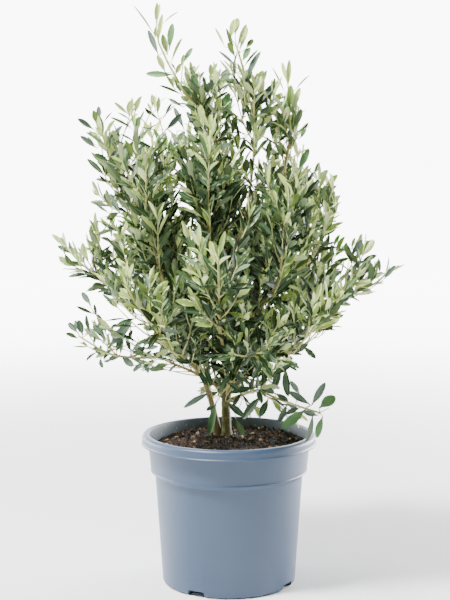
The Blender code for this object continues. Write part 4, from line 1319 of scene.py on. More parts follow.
SPRAYS = tuple(
    Spray(*row)
    for row in (
        ("top_centre", 0.12, (0.040, -0.040, 0.614)), ("top_centre", 0.04, (0.028, -0.046, 0.566)),
        ("top_left", 0.12, (-0.046, -0.030, 0.640)), ("top_left", 0.06, (-0.060, -0.020, 0.600)),
        ("top_front", 0.45, (-0.074, -0.050, 0.628)), ("top_front", 0.30, (-0.070, -0.050, 0.590)),
        ("middle_front", 0.60, (0.032, -0.100, 0.520)), ("upper_left", 0.60, (-0.128, 0.004, 0.662)),
        ("upper_left", 0.50, (-0.098, 0.004, 0.664)), ("upper_left", 0.20, (-0.184, -0.010, 0.540)),
        ("upper_left", 0.08, (-0.172, -0.014, 0.500)), ("middle_left", 0.56, (-0.182, -0.010, 0.470)),
        ("upper_right", 0.60, (0.138, 0.000, 0.548)), ("middle_right", 0.66, (0.172, 0.000, 0.472)),
        ("middle_right", 0.50, (0.140, -0.012, 0.378)), ("upper_left_front", 0.55, (-0.070, -0.040, 0.600)),
        ("top_front", 0.35, (-0.062, -0.060, 0.560)), ("top_front", 0.30, (0.010, -0.070, 0.590)),
        ("upper_right_front", 0.50, (0.044, -0.070, 0.570)), ("top_centre", 0.00, (0.050, -0.030, 0.560)),
        ("middle_left_front", 0.60, (-0.142, -0.060, 0.470)), ("upper_left", 0.00, (-0.135, -0.030, 0.470)),
        ("middle_front", 0.40, (-0.055, -0.090, 0.490)), ("upper_left_front", 0.10, (-0.058, -0.050, 0.500)),
        ("upper_right", 0.70, (0.140, -0.020, 0.560)), ("upper_left_front", 0.02, (-0.060, -0.045, 0.500)),
        ("middle_left_front", 0.10, (-0.068, -0.055, 0.480)), ("middle_front", 0.10, (-0.058, -0.060, 0.462)),
        ("top_front", 0.02, (-0.062, -0.030, 0.506)), ("upper_left_front", 0.00, (-0.058, -0.020, 0.478)),
    )
)


class Opening(NamedTuple):
    """A gap that shows sky from the front: its middle in the crown's middle plane, and its radius."""

    x: float
    z: float
    radius: float


OPENINGS = tuple(
    Opening(*row)
    for row in (
        (-0.040, 0.727, 0.020), (-0.032, 0.703, 0.009), (0.011, 0.648, 0.009), (0.005, 0.664, 0.007),
        (-0.109, 0.606, 0.008), (-0.168, 0.589, 0.008), (0.114, 0.337, 0.012), (-0.178, 0.389, 0.011),
        (-0.148, 0.373, 0.012), (-0.125, 0.348, 0.009), (-0.090, 0.325, 0.007), (-0.087, 0.279, 0.013),
        (-0.060, 0.268, 0.016), (-0.045, 0.243, 0.011), (-0.108, 0.282, 0.011), (0.056, 0.213, 0.008),
        (0.059, 0.240, 0.008), (0.092, 0.282, 0.012), (0.029, 0.252, 0.007), (-0.191, 0.441, 0.008),
        (0.095, 0.578, 0.008), (-0.004, 0.722, 0.007), (0.044, 0.708, 0.012), (-0.145, 0.641, 0.013),
        (-0.140, 0.613, 0.010), (-0.106, 0.643, 0.013), (-0.079, 0.637, 0.012), (-0.069, 0.627, 0.009),
        (-0.059, 0.292, 0.013), (-0.078, 0.297, 0.011), (-0.124, 0.366, 0.012), (-0.107, 0.342, 0.007),
        (-0.092, 0.326, 0.007), (-0.034, 0.297, 0.007), (0.100, 0.311, 0.012), (0.084, 0.317, 0.007),
        (0.087, 0.278, 0.008),
    )
)


def in_crown(place: Vector, slack: float = 0.0) -> bool:
    """Whether a point is inside the crown's outline, an oval at each height.

    Args:
        place: The point.
        slack: How far it may pass the outline.

    Returns:
        True if it is inside.
    """
    for low, high in zip(CROWN, CROWN[1:]):
        if low.height <= place.z <= high.height:
            share = (place.z - low.height) / (high.height - low.height)
            left, right, depth = (a + (b - a) * share + slack for a, b in zip(low[1:], high[1:]))
            across = (place.x - (right - left) / 2) / ((right + left) / 2)
            return across**2 + ((place.y - CROWN_MIDDLE) / depth) ** 2 <= 1.0
    return False


def bend_path(
    start: Vector, direction: Vector, tip: Vector, towards: Vector | None, step: float
) -> list[Vector]:
    """Points of a smooth limb from start to tip.

    Args:
        start: Where it starts.
        direction: The way it sets off.
        tip: Where it ends.
        towards: The way it arrives, or None for straight from start to tip.
        step: Distance between its points.

    Returns:
        The points.
    """
    span = (tip - start).length
    first = start + direction.normalized() * span * 0.36
    arrive = (tip - start).normalized() if towards is None else towards.normalized()
    last = tip - arrive * span * 0.30
    count = max(4, round(span / step))
    points = []
    for index in range(count + 1):
        t = index / count
        s = 1.0 - t
        points.append(start * s**3 + first * 3 * s * s * t + last * 3 * s * t * t + tip * t**3)
    return points


def taper(first: float, last: float, count: int) -> list[float]:
    """Radii that shrink evenly from first to last over a number of points."""
    return [first + (last - first) * index / (count - 1) for index in range(count)]


def point_at(path: Sequence[Vector], share: float) -> tuple[Vector, Vector]:
    """A point of a path and the path's direction there.

    Args:
        path: The path's points.
        share: Share of the path, from 0 to 1.

    Returns:
        The point and the unit direction.
    """
    place = share * (len(path) - 1)
    index = min(int(place), len(path) - 2)
    along = path[index + 1] - path[index]
    return path[index] + along * (place - index), along.normalized()


def path_length(path: Sequence[Vector]) -> float:
    """Length of a path."""
    return sum((end - start).length for start, end in zip(path, path[1:]))


def side_of(along: Vector, turn: float) -> Vector:
    """Unit vector at right angles to a direction, turned about it."""
    return Matrix.Rotation(turn, 3, along) @ along.orthogonal().normalized()


# Trunk, stems and boughs


@dataclass
class Framework:
    """Trunk, second stem and boughs with the relief of young bark."""

    compost: Compost
    gap: float = 0.0003
    limb_step: float = 0.0300
    trunk_radii: tuple[float, ...] = (0.0105, 0.0084, 0.0066, 0.0061, 0.0060, 0.0062)
    trunk_rise: Vector = field(default_factory=lambda: Vector((-0.0010, -0.0020, 0.0600)))
    second_stem_offset: Vector = field(default_factory=lambda: Vector((-0.0112, 0.0040, -0.0040)))
    second_stem_lean: Vector = field(default_factory=lambda: Vector((-0.12, 0.00, 0.99)))
    second_stem_flare: float = 1.20
    collar_flare: float = 0.34
    foot_depth: float = 0.0050
    node_step: float = 0.0240
    paths: dict[str, list[Vector]] = field(default_factory=dict)
    radii: dict[str, list[float]] = field(default_factory=dict)

    def settle(self) -> None:
        """Work out the path and the radii of every limb."""
        foot = self.compost.stem_foot
        count = len(self.trunk_radii)
        rise = self.trunk_rise / (count - 2)
        self.paths["trunk"] = [foot + rise * (index - 1) for index in range(count)]
        self.radii["trunk"] = list(self.trunk_radii)
        for limb in LIMBS:
            tip = Vector(limb.tip)
            if limb.parent == "ground":
                start, along = foot + self.second_stem_offset, self.second_stem_lean
            else:
                start, along = point_at(self.paths[limb.parent], limb.share)
            direction = (tip - start).normalized() + UP * limb.lift
            if limb.parent == "ground" or limb.share == 1.0:
                start, direction = start + along * self.gap, along
            span = (tip - start).length
            step = span / max(4, round(span / self.limb_step) + 1)
            points = bend_path(start, direction, tip, None, step)
            self.paths[limb.name] = points
            self.radii[limb.name] = taper(limb.root_radius, limb.tip_radius, len(points))
            if limb.parent == "ground":
                self.radii[limb.name][0] *= self.second_stem_flare

    def skin(self, name: str, sides: int, step: float) -> Object:
        """Wrap one limb in bark.

        Args:
            name: The limb's node.
            sides: Points round the limb.
            step: Distance between rings.

        Returns:
            The limb's piece.
        """
        path, radii = self.paths[name], self.radii[name]
        length = path_length(path)
        rings = max(6, round(length / step))
        grounded = name in ("trunk", "left_stem")
        seed = 7.0 * list(self.paths).index(name)
        points, girths = [], []
        across = path[0].cross(UP) if path[0].cross(UP).length > 1e-6 else Vector((1.0, 0.0, 0.0))
        for ring in range(rings + 1):
            share = ring / rings
            centre, along = point_at(path, share)
            if ring == 0 and grounded:
                centre = Vector((centre.x, centre.y, self.compost.top - self.foot_depth))
            place = share * (len(path) - 1)
            index = min(int(place), len(path) - 2)
            girth = radii[index] + (radii[index + 1] - radii[index]) * (place - index)
            travel = share * length
            if name != "trunk" and name != "leader":
                girth *= 1.0 + self.collar_flare * math.exp(-travel / (1.6 * radii[0]))
            swell = 0.07 * math.exp(-(((travel % self.node_step) - self.node_step / 2) / 0.0026) ** 2)
            side = (across - along * across.dot(along)).normalized()
            across = side
            other = along.cross(side)
            for corner in range(sides):
                angle = math.tau * corner / sides
                outward = side * math.cos(angle) + other * math.sin(angle)
                where = outward * girth * 260.0 + UP * (travel * 55.0 + seed)
                ridge = noise.noise(where) * 0.085 + noise.noise(where * 2.7) * 0.045
                flute = 0.05 * math.cos(3 * angle + seed + travel * 30.0) if grounded else 0.0
                points.append(centre + outward * girth * (1.0 + ridge + swell + flute))
                girths.append(girth)
        faces = ring_faces(rings + 1, sides)
        faces.append(tuple(range(sides)))
        faces.append(tuple(reversed(range(rings * sides, (rings + 1) * sides))))
        mesh = mesh_from(name + "_bark", points, faces)
        if len(mesh.vertices) == len(girths):
            store(mesh, "girth", "FLOAT", "POINT", girths)
        return add_object(name + "_bark", mesh)

    def build(self) -> None:
        """Settle the limbs and skin each one."""
        self.settle()
        material = BARK.material()
        for name in self.paths:
            main = name in ("trunk", "leader", "left_stem", "right_stem")
            piece = self.skin(name, 24 if name == "trunk" else 16 if main else 12, 0.0012 if main else 0.0020)
            piece.data.materials.append(material)
            mount(piece, "trunk" if name == "trunk" else "bough", name)


# Twigs and leaves


class Joint(NamedTuple):
    """A place on a shoot: the point, the shoot's direction there and a side at right angles to it."""

    place: Vector
    along: Vector
    side: Vector


def joint_at(path: Sequence[Vector], share: float, turn: float) -> Joint:
    """Joint at a share of a path, with its side turned about it."""
    place, along = point_at(path, share)
    return Joint(place, along, side_of(along, turn))


class Strand(NamedTuple):
    """One twig: its path, its radii and its skin."""

    points: list[Vector]
    radii: list[float]
    skin: Skin


class Leaf(NamedTuple):
    """One leaf: where it sits, which way it points and faces, its size and its tint."""

    root: Vector
    along: Vector
    face: Vector
    length: float
    width: float
    tint: int
    kind: int


@dataclass
class LeafBlade:
    """A blunt lance-shaped blade with a folded midrib, one long and one wide."""

    bend: float
    twist: float
    fold: float = 0.16
    rib: float = 0.036
    thickness: float = 0.016
    stations: tuple[float, ...] = (0.0, 0.14, 0.34, 0.56, 0.77, 0.92, 1.0)
    stalk: float = 0.16
    belly: float = 0.57

    def half_width(self, t: float) -> float:
        """Half the width at a share of the length: wedge-shaped below, blunt at the tip."""
        swell = math.sin(math.pi * t ** (math.log(0.5) / math.log(self.belly)))
        return max(self.stalk / 2, 0.5 * swell ** (1.15 - 0.60 * t)) if t > 0.0 else self.stalk / 2.4

    def mesh(self, name: str) -> Mesh:
        """Close the upper side, the underside and the midrib round each station.

        Args:
            name: The mesh's name.

        Returns:
            The blade, with the side of each face: 0 upper, 1 under, 2 midrib.
        """
        points: list[Vector] = []
        for t in self.stations[:-1]:
            half = self.half_width(t)
            rib = min(self.rib * (1.0 - 0.5 * t), half * 0.40)
            turn = Matrix.Rotation(self.twist * t, 3, "Y")
            sag = self.bend * t * t
            lift = self.fold * half * 0.28
            deep = self.thickness * (1.0 - 0.7 * t)
            section = ((-half, lift), (-rib, 0.0), (rib, 0.0), (half, lift), (rib, -deep), (-rib, -deep))
            for x, z in section:
                flat = turn @ Vector((x * 0.27, 0.0, z))
                points.append(Vector((flat.x / 0.27, t, flat.z + sag)))
        points.append(Vector((0.0, 1.0, self.bend)))
        sides = (0, 2, 0, 1, 1, 1)
        rings = len(self.stations) - 1
        faces = ring_faces(rings, 6)
        tip = rings * 6
        faces += [(tip - 6 + index, tip - 6 + (index + 1) % 6, tip) for index in range(6)]
        faces.append((5, 4, 3, 2, 1, 0))
        kinds = sides * rings + (1,)
        mesh = bpy.data.meshes.new(name)
        mesh.from_pydata([tuple(point) for point in points], [], faces)
        store(mesh, "side", "INT", "FACE", kinds)
        mesh.shade_smooth()
        mesh.set_sharp_from_angle(angle=math.radians(62.0))
        return mesh


BLADES = (
    LeafBlade(bend=-0.06, twist=0.10, fold=0.30),
    LeafBlade(bend=-0.14, twist=-0.22, fold=0.42),
    LeafBlade(bend=0.07, twist=0.20, fold=0.50),
    LeafBlade(bend=-0.22, twist=0.35, fold=0.22),
    LeafBlade(bend=0.01, twist=-0.50, fold=0.38),
    LeafBlade(bend=-0.10, twist=0.55, fold=-0.20),
)


class Tier(Enum):
    """Storeys of the crown, each with its own pieces."""

    TOP = "top"
    UPPER = "upper"
    MIDDLE = "middle"
    LOW = "low"


class Habit(NamedTuple):
    """How the shoots of a mass grow: its storey, their climb, sag and distance, and their leaves' breadth."""

    tier: Tier
    climb: float
    sag: float = 0.0
    openness: float = 1.0
    breadth: float = 1.0
    slack: float = 0.005


CLIMB = {Tier.TOP: 1.00, Tier.UPPER: 0.90, Tier.MIDDLE: 0.60, Tier.LOW: 0.25}


@dataclass
class Foliage:
    """Twigs and leaves that grow on from the limbs by the source's rule, carried to finer twigs."""

    framework: Framework
    pot: Pot
    seed: int = 417
    leaf_length: float = 0.0350
    leaf_width: float = 0.0090
    outward_look: float = 0.55
    leaf_angle: float = math.radians(38.0)
    twig_angle: float = math.radians(44.0)
    twig_rise: float = 0.12
    first_twig: float = 0.06
    reach_shrink: float = 0.45
    reach_growth: float = 1.15
    node_step: float = 0.0204
    pair_step: float = 0.0114
    shortest_twig: float = 0.0220
    stem_gap: float = 0.0003
    joint_length: float = 0.0060
    end_rise: float = 0.5
    end_inset: float = 0.0230
    stem_tip_radius: float = 0.0014
    twig_radius: float = 0.0012
    limb_step: float = 0.0158
    limb_reach: float = 0.0560
    spur_step: float = 0.0170
    lone_look: Vector = field(default_factory=lambda: Vector((-0.10, -0.85, 0.50)))
    spur_wood: tuple[tuple[str, float, float], ...] = (
        ("trunk", 0.70, 1.00),
        ("left_stem", 0.14, 0.34),
        ("leader", 0.00, 0.16),
        ("right_stem", 0.04, 0.26),
        ("right_bough", 0.10, 0.50),
        ("low_left_bough", 0.20, 0.60),
        ("low_right_bough", 0.30, 0.90),
    )
    tries: int = 8
    leaf_kept: float = 0.94
    shoot_kept: float = 0.90
    limb_shoot_kept: float = 0.72
    limb_shoot_floor: float = 0.262
    finer_kept: float = 0.60
    finer_length: float = 0.0550
    tip_pair: Triple = (0.84, 0.74, math.radians(25.0))
    bud_pair: Triple = (0.58, 0.60, math.radians(10.0))

    def __post_init__(self) -> None:
        """Start with no twig and no leaf in any storey."""
        self.rng = random.Random(self.seed)
        self.strands: dict[Tier, list[Strand]] = {tier: [] for tier in Tier}
        self.leaves: dict[Tier, list[Leaf]] = {tier: [] for tier in Tier}
        self.stems = dict(self.framework.paths)

    def habit_of(self, mass: Mass) -> Habit:
        """Habit of a mass's shoots."""
        tier = Tier(mass.name.split("_")[0])
        breadth, slack = (1.06, 0.022) if tier is Tier.LOW else (1.0, 0.005)
        return Habit(tier, CLIMB[tier], mass.sag, mass.openness, breadth, slack)

    def mass_stem(self, mass: Mass) -> list[Vector]:
        """Path of a mass's own stem, from its limb's tip to its last leaf."""
        path = self.framework.paths[mass.limb]
        along = (path[-1] - path[-2]).normalized()
        tip = Vector(mass.tip)
        start = path[-1] + along * self.stem_gap
        if mass.name in COURSES:
            return [start] + [from_millimetres(point) for point in COURSES[mass.name]]
        up = (tip - start).normalized() + UP * self.end_rise
        end = tip - up.normalized() * self.end_inset
        return [start] + bend_path(start + along * self.joint_length, along, end, up, 0.012)

    def free(self, place: Vector, slack: float) -> bool:
        """Whether a point is in the crown and clear of the openings, the pot and the compost."""
        if not in_crown(place, slack):
            return False
        eye = Vector(Studio.camera_place)
        seen = eye + (place - eye) * (eye.y / (eye.y - place.y))
        if any(math.hypot(seen.x - gap.x, seen.z - gap.z) < gap.radius for gap in OPENINGS):
            return False
        reach = math.hypot(place.x, place.y)
        if place.z < self.pot.height + 0.003 and reach > self.pot.mouth_radius - 0.005:
            return reach > self.pot.lip_radius + 0.003
        return place.z > self.framework.compost.height(place.x, place.y) + 0.005

    def depth_of(self, place: Vector) -> float:
        """How far out a point lies in the crown, from 0 at its middle to 1 at its outline."""
        low, high = 0.0, 1.0
        middle = Vector((0.0, CROWN_MIDDLE, min(0.66, max(0.33, place.z))))
        for _ in range(6):
            share = (low + high) / 2
            if in_crown(middle + (place - middle) * (1.0 / max(share, 0.05))):
                high = share
            else:
                low = share
        return min(1.0, high)

    def tint_of(self, place: Vector, youth: float) -> int:
        """Tint of a spray: darker inside the crown and low down as painted shade, paler outside and above as
        painted light, and paler at tips as young leaves are.

        Args:
            place: Where the spray sits.
            youth: From 0 on old wood to 1 at a growing tip.

        Returns:
            Number of the tint.
        """
        height = min(1.0, max(0.0, (place.z - 0.24) / 0.50))
        # Depth and height paint shade and light into the tint. Youth gives the real paler colour of young
        # leaves, and the gauss term gives random variety.
        value = -0.1 + 1.5 * height + 1.1 * self.depth_of(place) + 2.5 * youth + self.rng.gauss(0.0, 1.1)
        return max(0, min(LeafTint.YOUNG.index, round(value)))

    def add_strand(self, tier: Tier, points: list[Vector], first: float, last: float, skin: Skin) -> None:
        """Add one twig whose radius shrinks from first to last."""
        self.strands[tier].append(Strand(points, taper(first, last, len(points)), skin))

    def add_leaf(
        self, habit: Habit, root: Vector, along: Vector, stem: Vector, size: float, slim: float, tint: int
    ) -> None:
        """Add one leaf whose upper side looks to the tip of its shoot and to the light.

        Args:
            habit: Habit of the shoot.
            root: Where the leaf sits.
            along: The way it points.
            stem: The way its shoot points.
            size: Share of the full length.
            slim: Share of the full width for that length.
            tint: Its tint.
        """
        rng = self.rng
        drop = UP * habit.sag * 0.7
        for attempt in range(4):
            spell = rng.triangular(0.62, 1.18, 0.94)
            length = self.leaf_length * size * spell * (1.0 - 0.12 * attempt)
            way = (along - drop + Vector([rng.gauss(0.0, 0.11) for _ in range(3)])).normalized()
            if all(self.free(root + way * length * part, habit.slack) for part in (0.5, 1.0)):
                break
        else:
            return
        outward = Vector((root.x, root.y - CROWN_MIDDLE, 0.0)).normalized()
        look = stem + UP * 0.30 + outward * self.outward_look
        face = (look - way * look.dot(way)).normalized()
        face = Matrix.Rotation(rng.gauss(0.0, 0.45), 3, way) @ face
        width = self.leaf_width * (0.30 + 0.70 * size) * slim * habit.breadth * rng.uniform(0.84, 1.14)
        self.leaves[habit.tier].append(Leaf(root, way, face, length, width, tint, rng.randrange(len(BLADES))))

    def add_pair(self, habit: Habit, joint: Joint, size: float, slim: float, angle: float, tint: int) -> None:
        """Add two opposite leaves.

        Args:
            habit: Habit of the shoot.
            joint: The joint that they sit on.
            size: Share of the full length.
            slim: Share of the full width for that length.
            angle: Angle between leaf and shoot.
            tint: The spray's tint.
        """
        for side in (1.0, -1.0):
            lean = angle * self.rng.uniform(0.70, 1.30)
            way = joint.along * math.cos(lean) + joint.side * side * math.sin(lean)
            shade = max(0, min(LeafTint.YOUNG.index, tint + self.rng.choice((-2, -1, 0, 0, 1, 2))))
            if self.rng.random() < self.leaf_kept:
                self.add_leaf(habit, joint.place, way, joint.along, size, slim, shade)

    def leafy(self, habit: Habit, path: Sequence[Vector], first: float, size: float, turn: float) -> None:
        """Dress a shoot with pairs of leaves, a quarter turn apart, and a soft tuft at its tip.

        Args:
            habit: Habit of the shoot.
            path: The shoot's path.
            first: Distance of the first pair from the root.
            size: Share of the full leaf length.
            turn: Turn of the first pair.
        """
        length = path_length(path)
        pairs = max(1, round((length - first) / (self.pair_step * (0.5 + 0.5 * habit.openness))))
        base = self.tint_of(path[len(path) // 2], 0.0)
        for pair in range(pairs):
            share = (first + (length - first) * pair / pairs) / length
            joint = joint_at(path, share, turn + pair * math.pi / 2)
            youth = max(0.0, (share - 0.55) / 0.45)
            tint = max(base, self.tint_of(joint.place, youth)) if youth > 0.3 else base
            angle = self.leaf_angle * (1.20 - 0.50 * share)
            self.add_pair(habit, joint, size * (1.0 - 0.16 * youth**1.5), 1.0, angle, tint)
        along = (path[-1] - path[-2]).normalized()
        side = side_of(along, turn + pairs * math.pi / 2)
        young = max(self.tint_of(path[-1], 0.8), LeafTint.OLIVE.index)
        for (share, slim, angle), tint in ((self.tip_pair, young), (self.bud_pair, LeafTint.YOUNG.index)):
            self.add_pair(habit, Joint(path[-1], along, side), size * share, slim, angle, tint)
            side = Matrix.Rotation(math.pi / 2, 3, along) @ side

    def grow_shoot(self, habit: Habit, joint: Joint, reach: float, order: int) -> None:
        """Grow one side shoot that climbs towards the light, shortened until it fits.

        Args:
            habit: Habit of the shoot.
            joint: Where it leaves its stem, and the side that it leans to.
            reach: Its full length.
            order: 1 for a shoot on a stem, 2 for a finer one on that.
        """
        rng = self.rng
        for attempt in range(self.tries):
            length = max(self.shortest_twig, reach * rng.uniform(0.70, 1.25) * (1.0 - 0.08 * attempt))
            angle = self.twig_angle * rng.uniform(0.70, 1.20)
            way = (joint.along * math.cos(angle) + joint.side * math.sin(angle)).normalized()
            way = (way + UP * self.twig_rise).normalized()
            lift = habit.climb * rng.uniform(0.5, 1.4) - habit.sag
            climb = (way + UP * lift).normalized()
            tip = joint.place + climb * length
            if self.free(tip + climb * 0.018, habit.slack):
                break
        else:
            return
        path = bend_path(joint.place, way, tip, climb + UP * lift * 0.4, 0.009)
        thick = self.twig_radius * (1.0 if order == 1 else 0.8) * (0.75 + 0.35 * length / 0.07)
        skin = Skin.GREEN if order == 1 and length > 0.040 else Skin.SOFT
        self.add_strand(habit.tier, path, thick, thick * 0.55, skin)
        turn = rng.uniform(0.0, math.pi)
        self.leafy(habit, path, 0.011, 1.0 if order == 1 else 0.9, turn)
        if order == 1 and length > self.finer_length and rng.random() < self.finer_kept:
            finer = joint_at(path, rng.uniform(0.2, 0.5), rng.uniform(0.0, math.tau))
            self.grow_shoot(habit, finer, length * 0.5, 2)

    def grow_pair(self, habit: Habit, joint: Joint, reach: float, order: int) -> None:
        """Grow two opposite shoots, or one or none where the plant left them out.

        Args:
            habit: Habit of the shoots.
            joint: Where they leave their stem, and the side of the first one.
            reach: Their full length.
            order: 1 on the stem of a mass, 2 on a limb.
        """
        kept = self.shoot_kept if order == 1 else self.limb_shoot_kept
        for side in (1.0, -1.0):
            if self.rng.random() < kept:
                self.grow_shoot(habit, joint._replace(side=joint.side * side), reach, order)

    def grow_mass(self, mass: Mass) -> None:
        """Grow the stem of a mass with shoots and leaves in opposite pairs.

        Args:
            mass: The mass of the source that is carried on.
        """
        habit, path = self.habit_of(mass), self.mass_stem(mass)
        self.stems[mass.name] = path
        length = path_length(path)
        girth = self.framework.radii[mass.limb][-1]
        radii = taper(girth, self.stem_tip_radius, len(path))
        half = len(path) // 2
        self.strands[habit.tier].append(Strand(path[: half + 1], radii[: half + 1], Skin.WOODY))
        self.strands[habit.tier].append(Strand(path[half:], radii[half:], Skin.GREEN))
        turn = self.rng.uniform(0.0, math.pi)
        nodes = round(length * mass.last / (self.node_step * habit.openness))
        for node in range(nodes):
            share = self.first_twig + (mass.last - self.first_twig) * node / nodes
            reach = mass.spread * self.reach_growth * (1.0 - self.reach_shrink * share)
            self.grow_pair(habit, joint_at(path, share, turn + node * math.pi / 2), reach, 1)
        if mass.name not in COURSES:
            self.leafy(habit, path, length * 0.45, 1.08, turn)

    def grow_on_limb(self, name: str, habit: Habit) -> None:
        """Grow short shoots along a limb, to fill the crown's middle.

        Args:
            name: The limb.
            habit: Habit of its shoots.
        """
        path = self.framework.paths[name]
        turn = self.rng.uniform(0.0, math.pi)
        nodes = int(path_length(path) / self.limb_step)
        for node in range(nodes):
            joint = joint_at(path, 0.16 + 0.84 * node / nodes, turn + node * math.pi / 2)
            if joint.place.z > self.limb_shoot_floor:
                self.grow_pair(habit, joint, self.limb_reach, 2)

    def grow_spurs(self) -> None:
        """Grow the short spurs on the old wood round the fork."""
        rng = self.rng
        for limb, first, last in self.spur_wood:
            path = self.framework.paths[limb]
            count = max(1, round(path_length(path) * (last - first) / self.spur_step))
            for number in range(count):
                habit = Habit(Tier.LOW, 0.20, rng.uniform(0.0, 0.5), 1.3, 1.05)
                share = first + (last - first) * (number + rng.random()) / count
                joint = joint_at(path, share, rng.uniform(0.0, math.tau))
                joint = joint._replace(along=joint.along * 0.3 + joint.side)
                self.grow_shoot(habit, joint, rng.uniform(0.024, 0.040), 2)

    def grow_spray(self, spray: Spray) -> None:
        """Grow a shoot to its own tip.

        Args:
            spray: The shoot.
        """
        root, along = point_at(self.stems[spray.stem], spray.share)
        tip = Vector(spray.tip)
        way = (tip - root).normalized()
        tip -= way * self.leaf_length * 0.45
        habit = next(self.habit_of(mass) for mass in MASSES if mass.name == spray.stem)
        path = bend_path(root, along + way, tip, way + UP * 0.3, 0.009)
        self.add_strand(habit.tier, path, self.twig_radius, 0.0007, Skin.GREEN)
        self.leafy(habit, path, 0.012, 1.0, self.rng.uniform(0.0, math.pi))

    @staticmethod
    def tier_at(place: Vector) -> Tier:
        """Storey of a twig or leaf that stands out."""
        return Tier.LOW if place.z < 0.45 else Tier.TOP

    def grow_lone_leaf(self, order: int, guides: Sequence[Vector], wood: Sequence[Vector]) -> None:
        """Set one leaf between its two ends, on a short stalk from the nearest wood.

        Args:
            order: Its place in the table.
            guides: Points of the stems and twigs that such leaves grow on.
            wood: Points of all stems.
        """
        root_x, root_z, tip_x, tip_z, width, tint = LONE_LEAVES[order]
        guide = min(guides, key=lambda point: math.hypot(point.x * 1000 - root_x, point.z * 1000 - root_z))
        depth = guide.y * 1000
        root = from_millimetres((root_x, depth, root_z))
        tip = from_millimetres((tip_x, depth + LONE_STEPS[order % len(LONE_STEPS)], tip_z))
        way = (tip - root).normalized()
        tier = self.tier_at(root)
        start = min(wood, key=lambda point: (point - root).length)
        stalk = bend_path(start, way + UP * 0.2, root + way * 0.001, way, 0.004)
        self.add_strand(tier, stalk, 0.0007, 0.0005, Skin.SOFT)
        face = (self.lone_look - way * self.lone_look.dot(way)).normalized()
        face = Matrix.Rotation(self.rng.gauss(0.0, 0.28), 3, way) @ face
        kind = self.rng.randrange(3)
        self.leaves[tier].append(Leaf(root, way, face, (tip - root).length, width * 0.001, tint, kind))

    def grow_all(self) -> None:
        """Grow every mass and the shoots on its limb, then the spurs, sprays and leaves that stand out."""
        for mass in MASSES:
            self.grow_mass(mass)
            self.grow_on_limb(mass.limb, self.habit_of(mass))
        self.grow_spurs()
        for spray in SPRAYS:
            self.grow_spray(spray)
        guides = [from_millimetres(point) for course in COURSES.values() for point in course]
        for course in LONE_TWIGS:
            points = [from_millimetres(point) for point in course]
            guides += points
            self.add_strand(self.tier_at(points[0]), points, 0.0010, 0.0006, Skin.GREEN)
        wood = [point for path in self.framework.paths.values() for point in path]
        wood += [point for strands in self.strands.values() for strand in strands for point in strand.points]
        for order in range(len(LONE_LEAVES)):
            self.grow_lone_leaf(order, guides, wood)

    def twig_piece(self, tier: Tier) -> Object:
        """Join the twigs of a storey.

        Args:
            tier: The storey.

        Returns:
            The piece.
        """
        name = f"{tier.value}_twigs"
        curve = bpy.data.curves.new(name, "CURVE")
        curve.dimensions = "3D"
        curve.bevel_depth = 1.0
        curve.bevel_resolution = 1
        curve.use_fill_caps = True
        for material in self.skins:
            curve.materials.append(material)
        for strand in self.strands[tier]:
            spline = curve.splines.new("POLY")
            spline.points.add(len(strand.points) - 1)
            spline.material_index = strand.skin.index
            spline.use_smooth = True
            for point, place, radius in zip(spline.points, strand.points, strand.radii):
                point.co = (*place, 1.0)
                point.radius = radius
        guide = add_object("twig_guide", curve)
        mesh = evaluated_mesh(guide)
        bpy.data.objects.remove(guide, do_unlink=True)
        weld(mesh, turn=False)
        mesh.name = name
        return add_object(name, mesh)

    def leaf_piece(self, tier: Tier, stock: Collection) -> Object:
        """Set a blade on every leaf's place in a storey and join them.

        Args:
            tier: The storey.
            stock: The blades.

        Returns:
            The piece.
        """
        name = f"{tier.value}_leaves"
        leaves = self.leaves[tier]
        seats = bpy.data.meshes.new("leaf_seats")
        seats.from_pydata([tuple(leaf.root) for leaf in leaves], [], [])
        for key in ("along", "face"):
            values = [part for leaf in leaves for part in getattr(leaf, key)]
            store(seats, key, "FLOAT_VECTOR", "POINT", values)
        sizes = [part for leaf in leaves for part in (leaf.width, leaf.length, leaf.length)]
        store(seats, "size", "FLOAT_VECTOR", "POINT", sizes)
        for key in ("tint", "kind"):
            store(seats, key, "INT", "POINT", [getattr(leaf, key) for leaf in leaves])
        guide = add_object("leaf_guide", seats)
        tree = Tree(name + "_setting")
        blades = tree.given("Blades", "NodeSocketCollection", stock)
        axes = {"primary_axis": "Y", "secondary_axis": "Z"}
        feeds = {0: tree.attribute("along", "FLOAT_VECTOR"), 1: tree.attribute("face", "FLOAT_VECTOR")}
        turn = tree.node("FunctionNodeAxesToRotation", axes, feeds)
        places = {
            "Points": tree.start.outputs[0],
            "Instance Index": tree.attribute("kind", "INT"),
            "Rotation": turn.outputs[0],
            "Scale": tree.attribute("size", "FLOAT_VECTOR"),
        }
        joined = tree.copies(blades, places)
        side, dealt = tree.attribute("side", "INT"), tree.attribute("tint", "INT")
        for number, materials in enumerate(self.sides):
            for tint, material in enumerate(materials):
                both = {0: tree.is_number(side, number), 1: tree.is_number(dealt, tint)}
                chosen = tree.node("FunctionNodeBooleanMath", {"operation": "AND"}, both).outputs[0]
                joined = tree.paint(joined, chosen, material)
        joined = tree.paint(joined, tree.is_number(side, len(self.sides)), self.rib)
        mesh = tree.run(guide, joined)
        bpy.data.objects.remove(guide, do_unlink=True)
        for key in ("along", "face", "size", "tint", "kind", "side"):
            if key in mesh.attributes:
                mesh.attributes.remove(mesh.attributes[key])
        mesh.name = name
        return add_object(name, mesh)

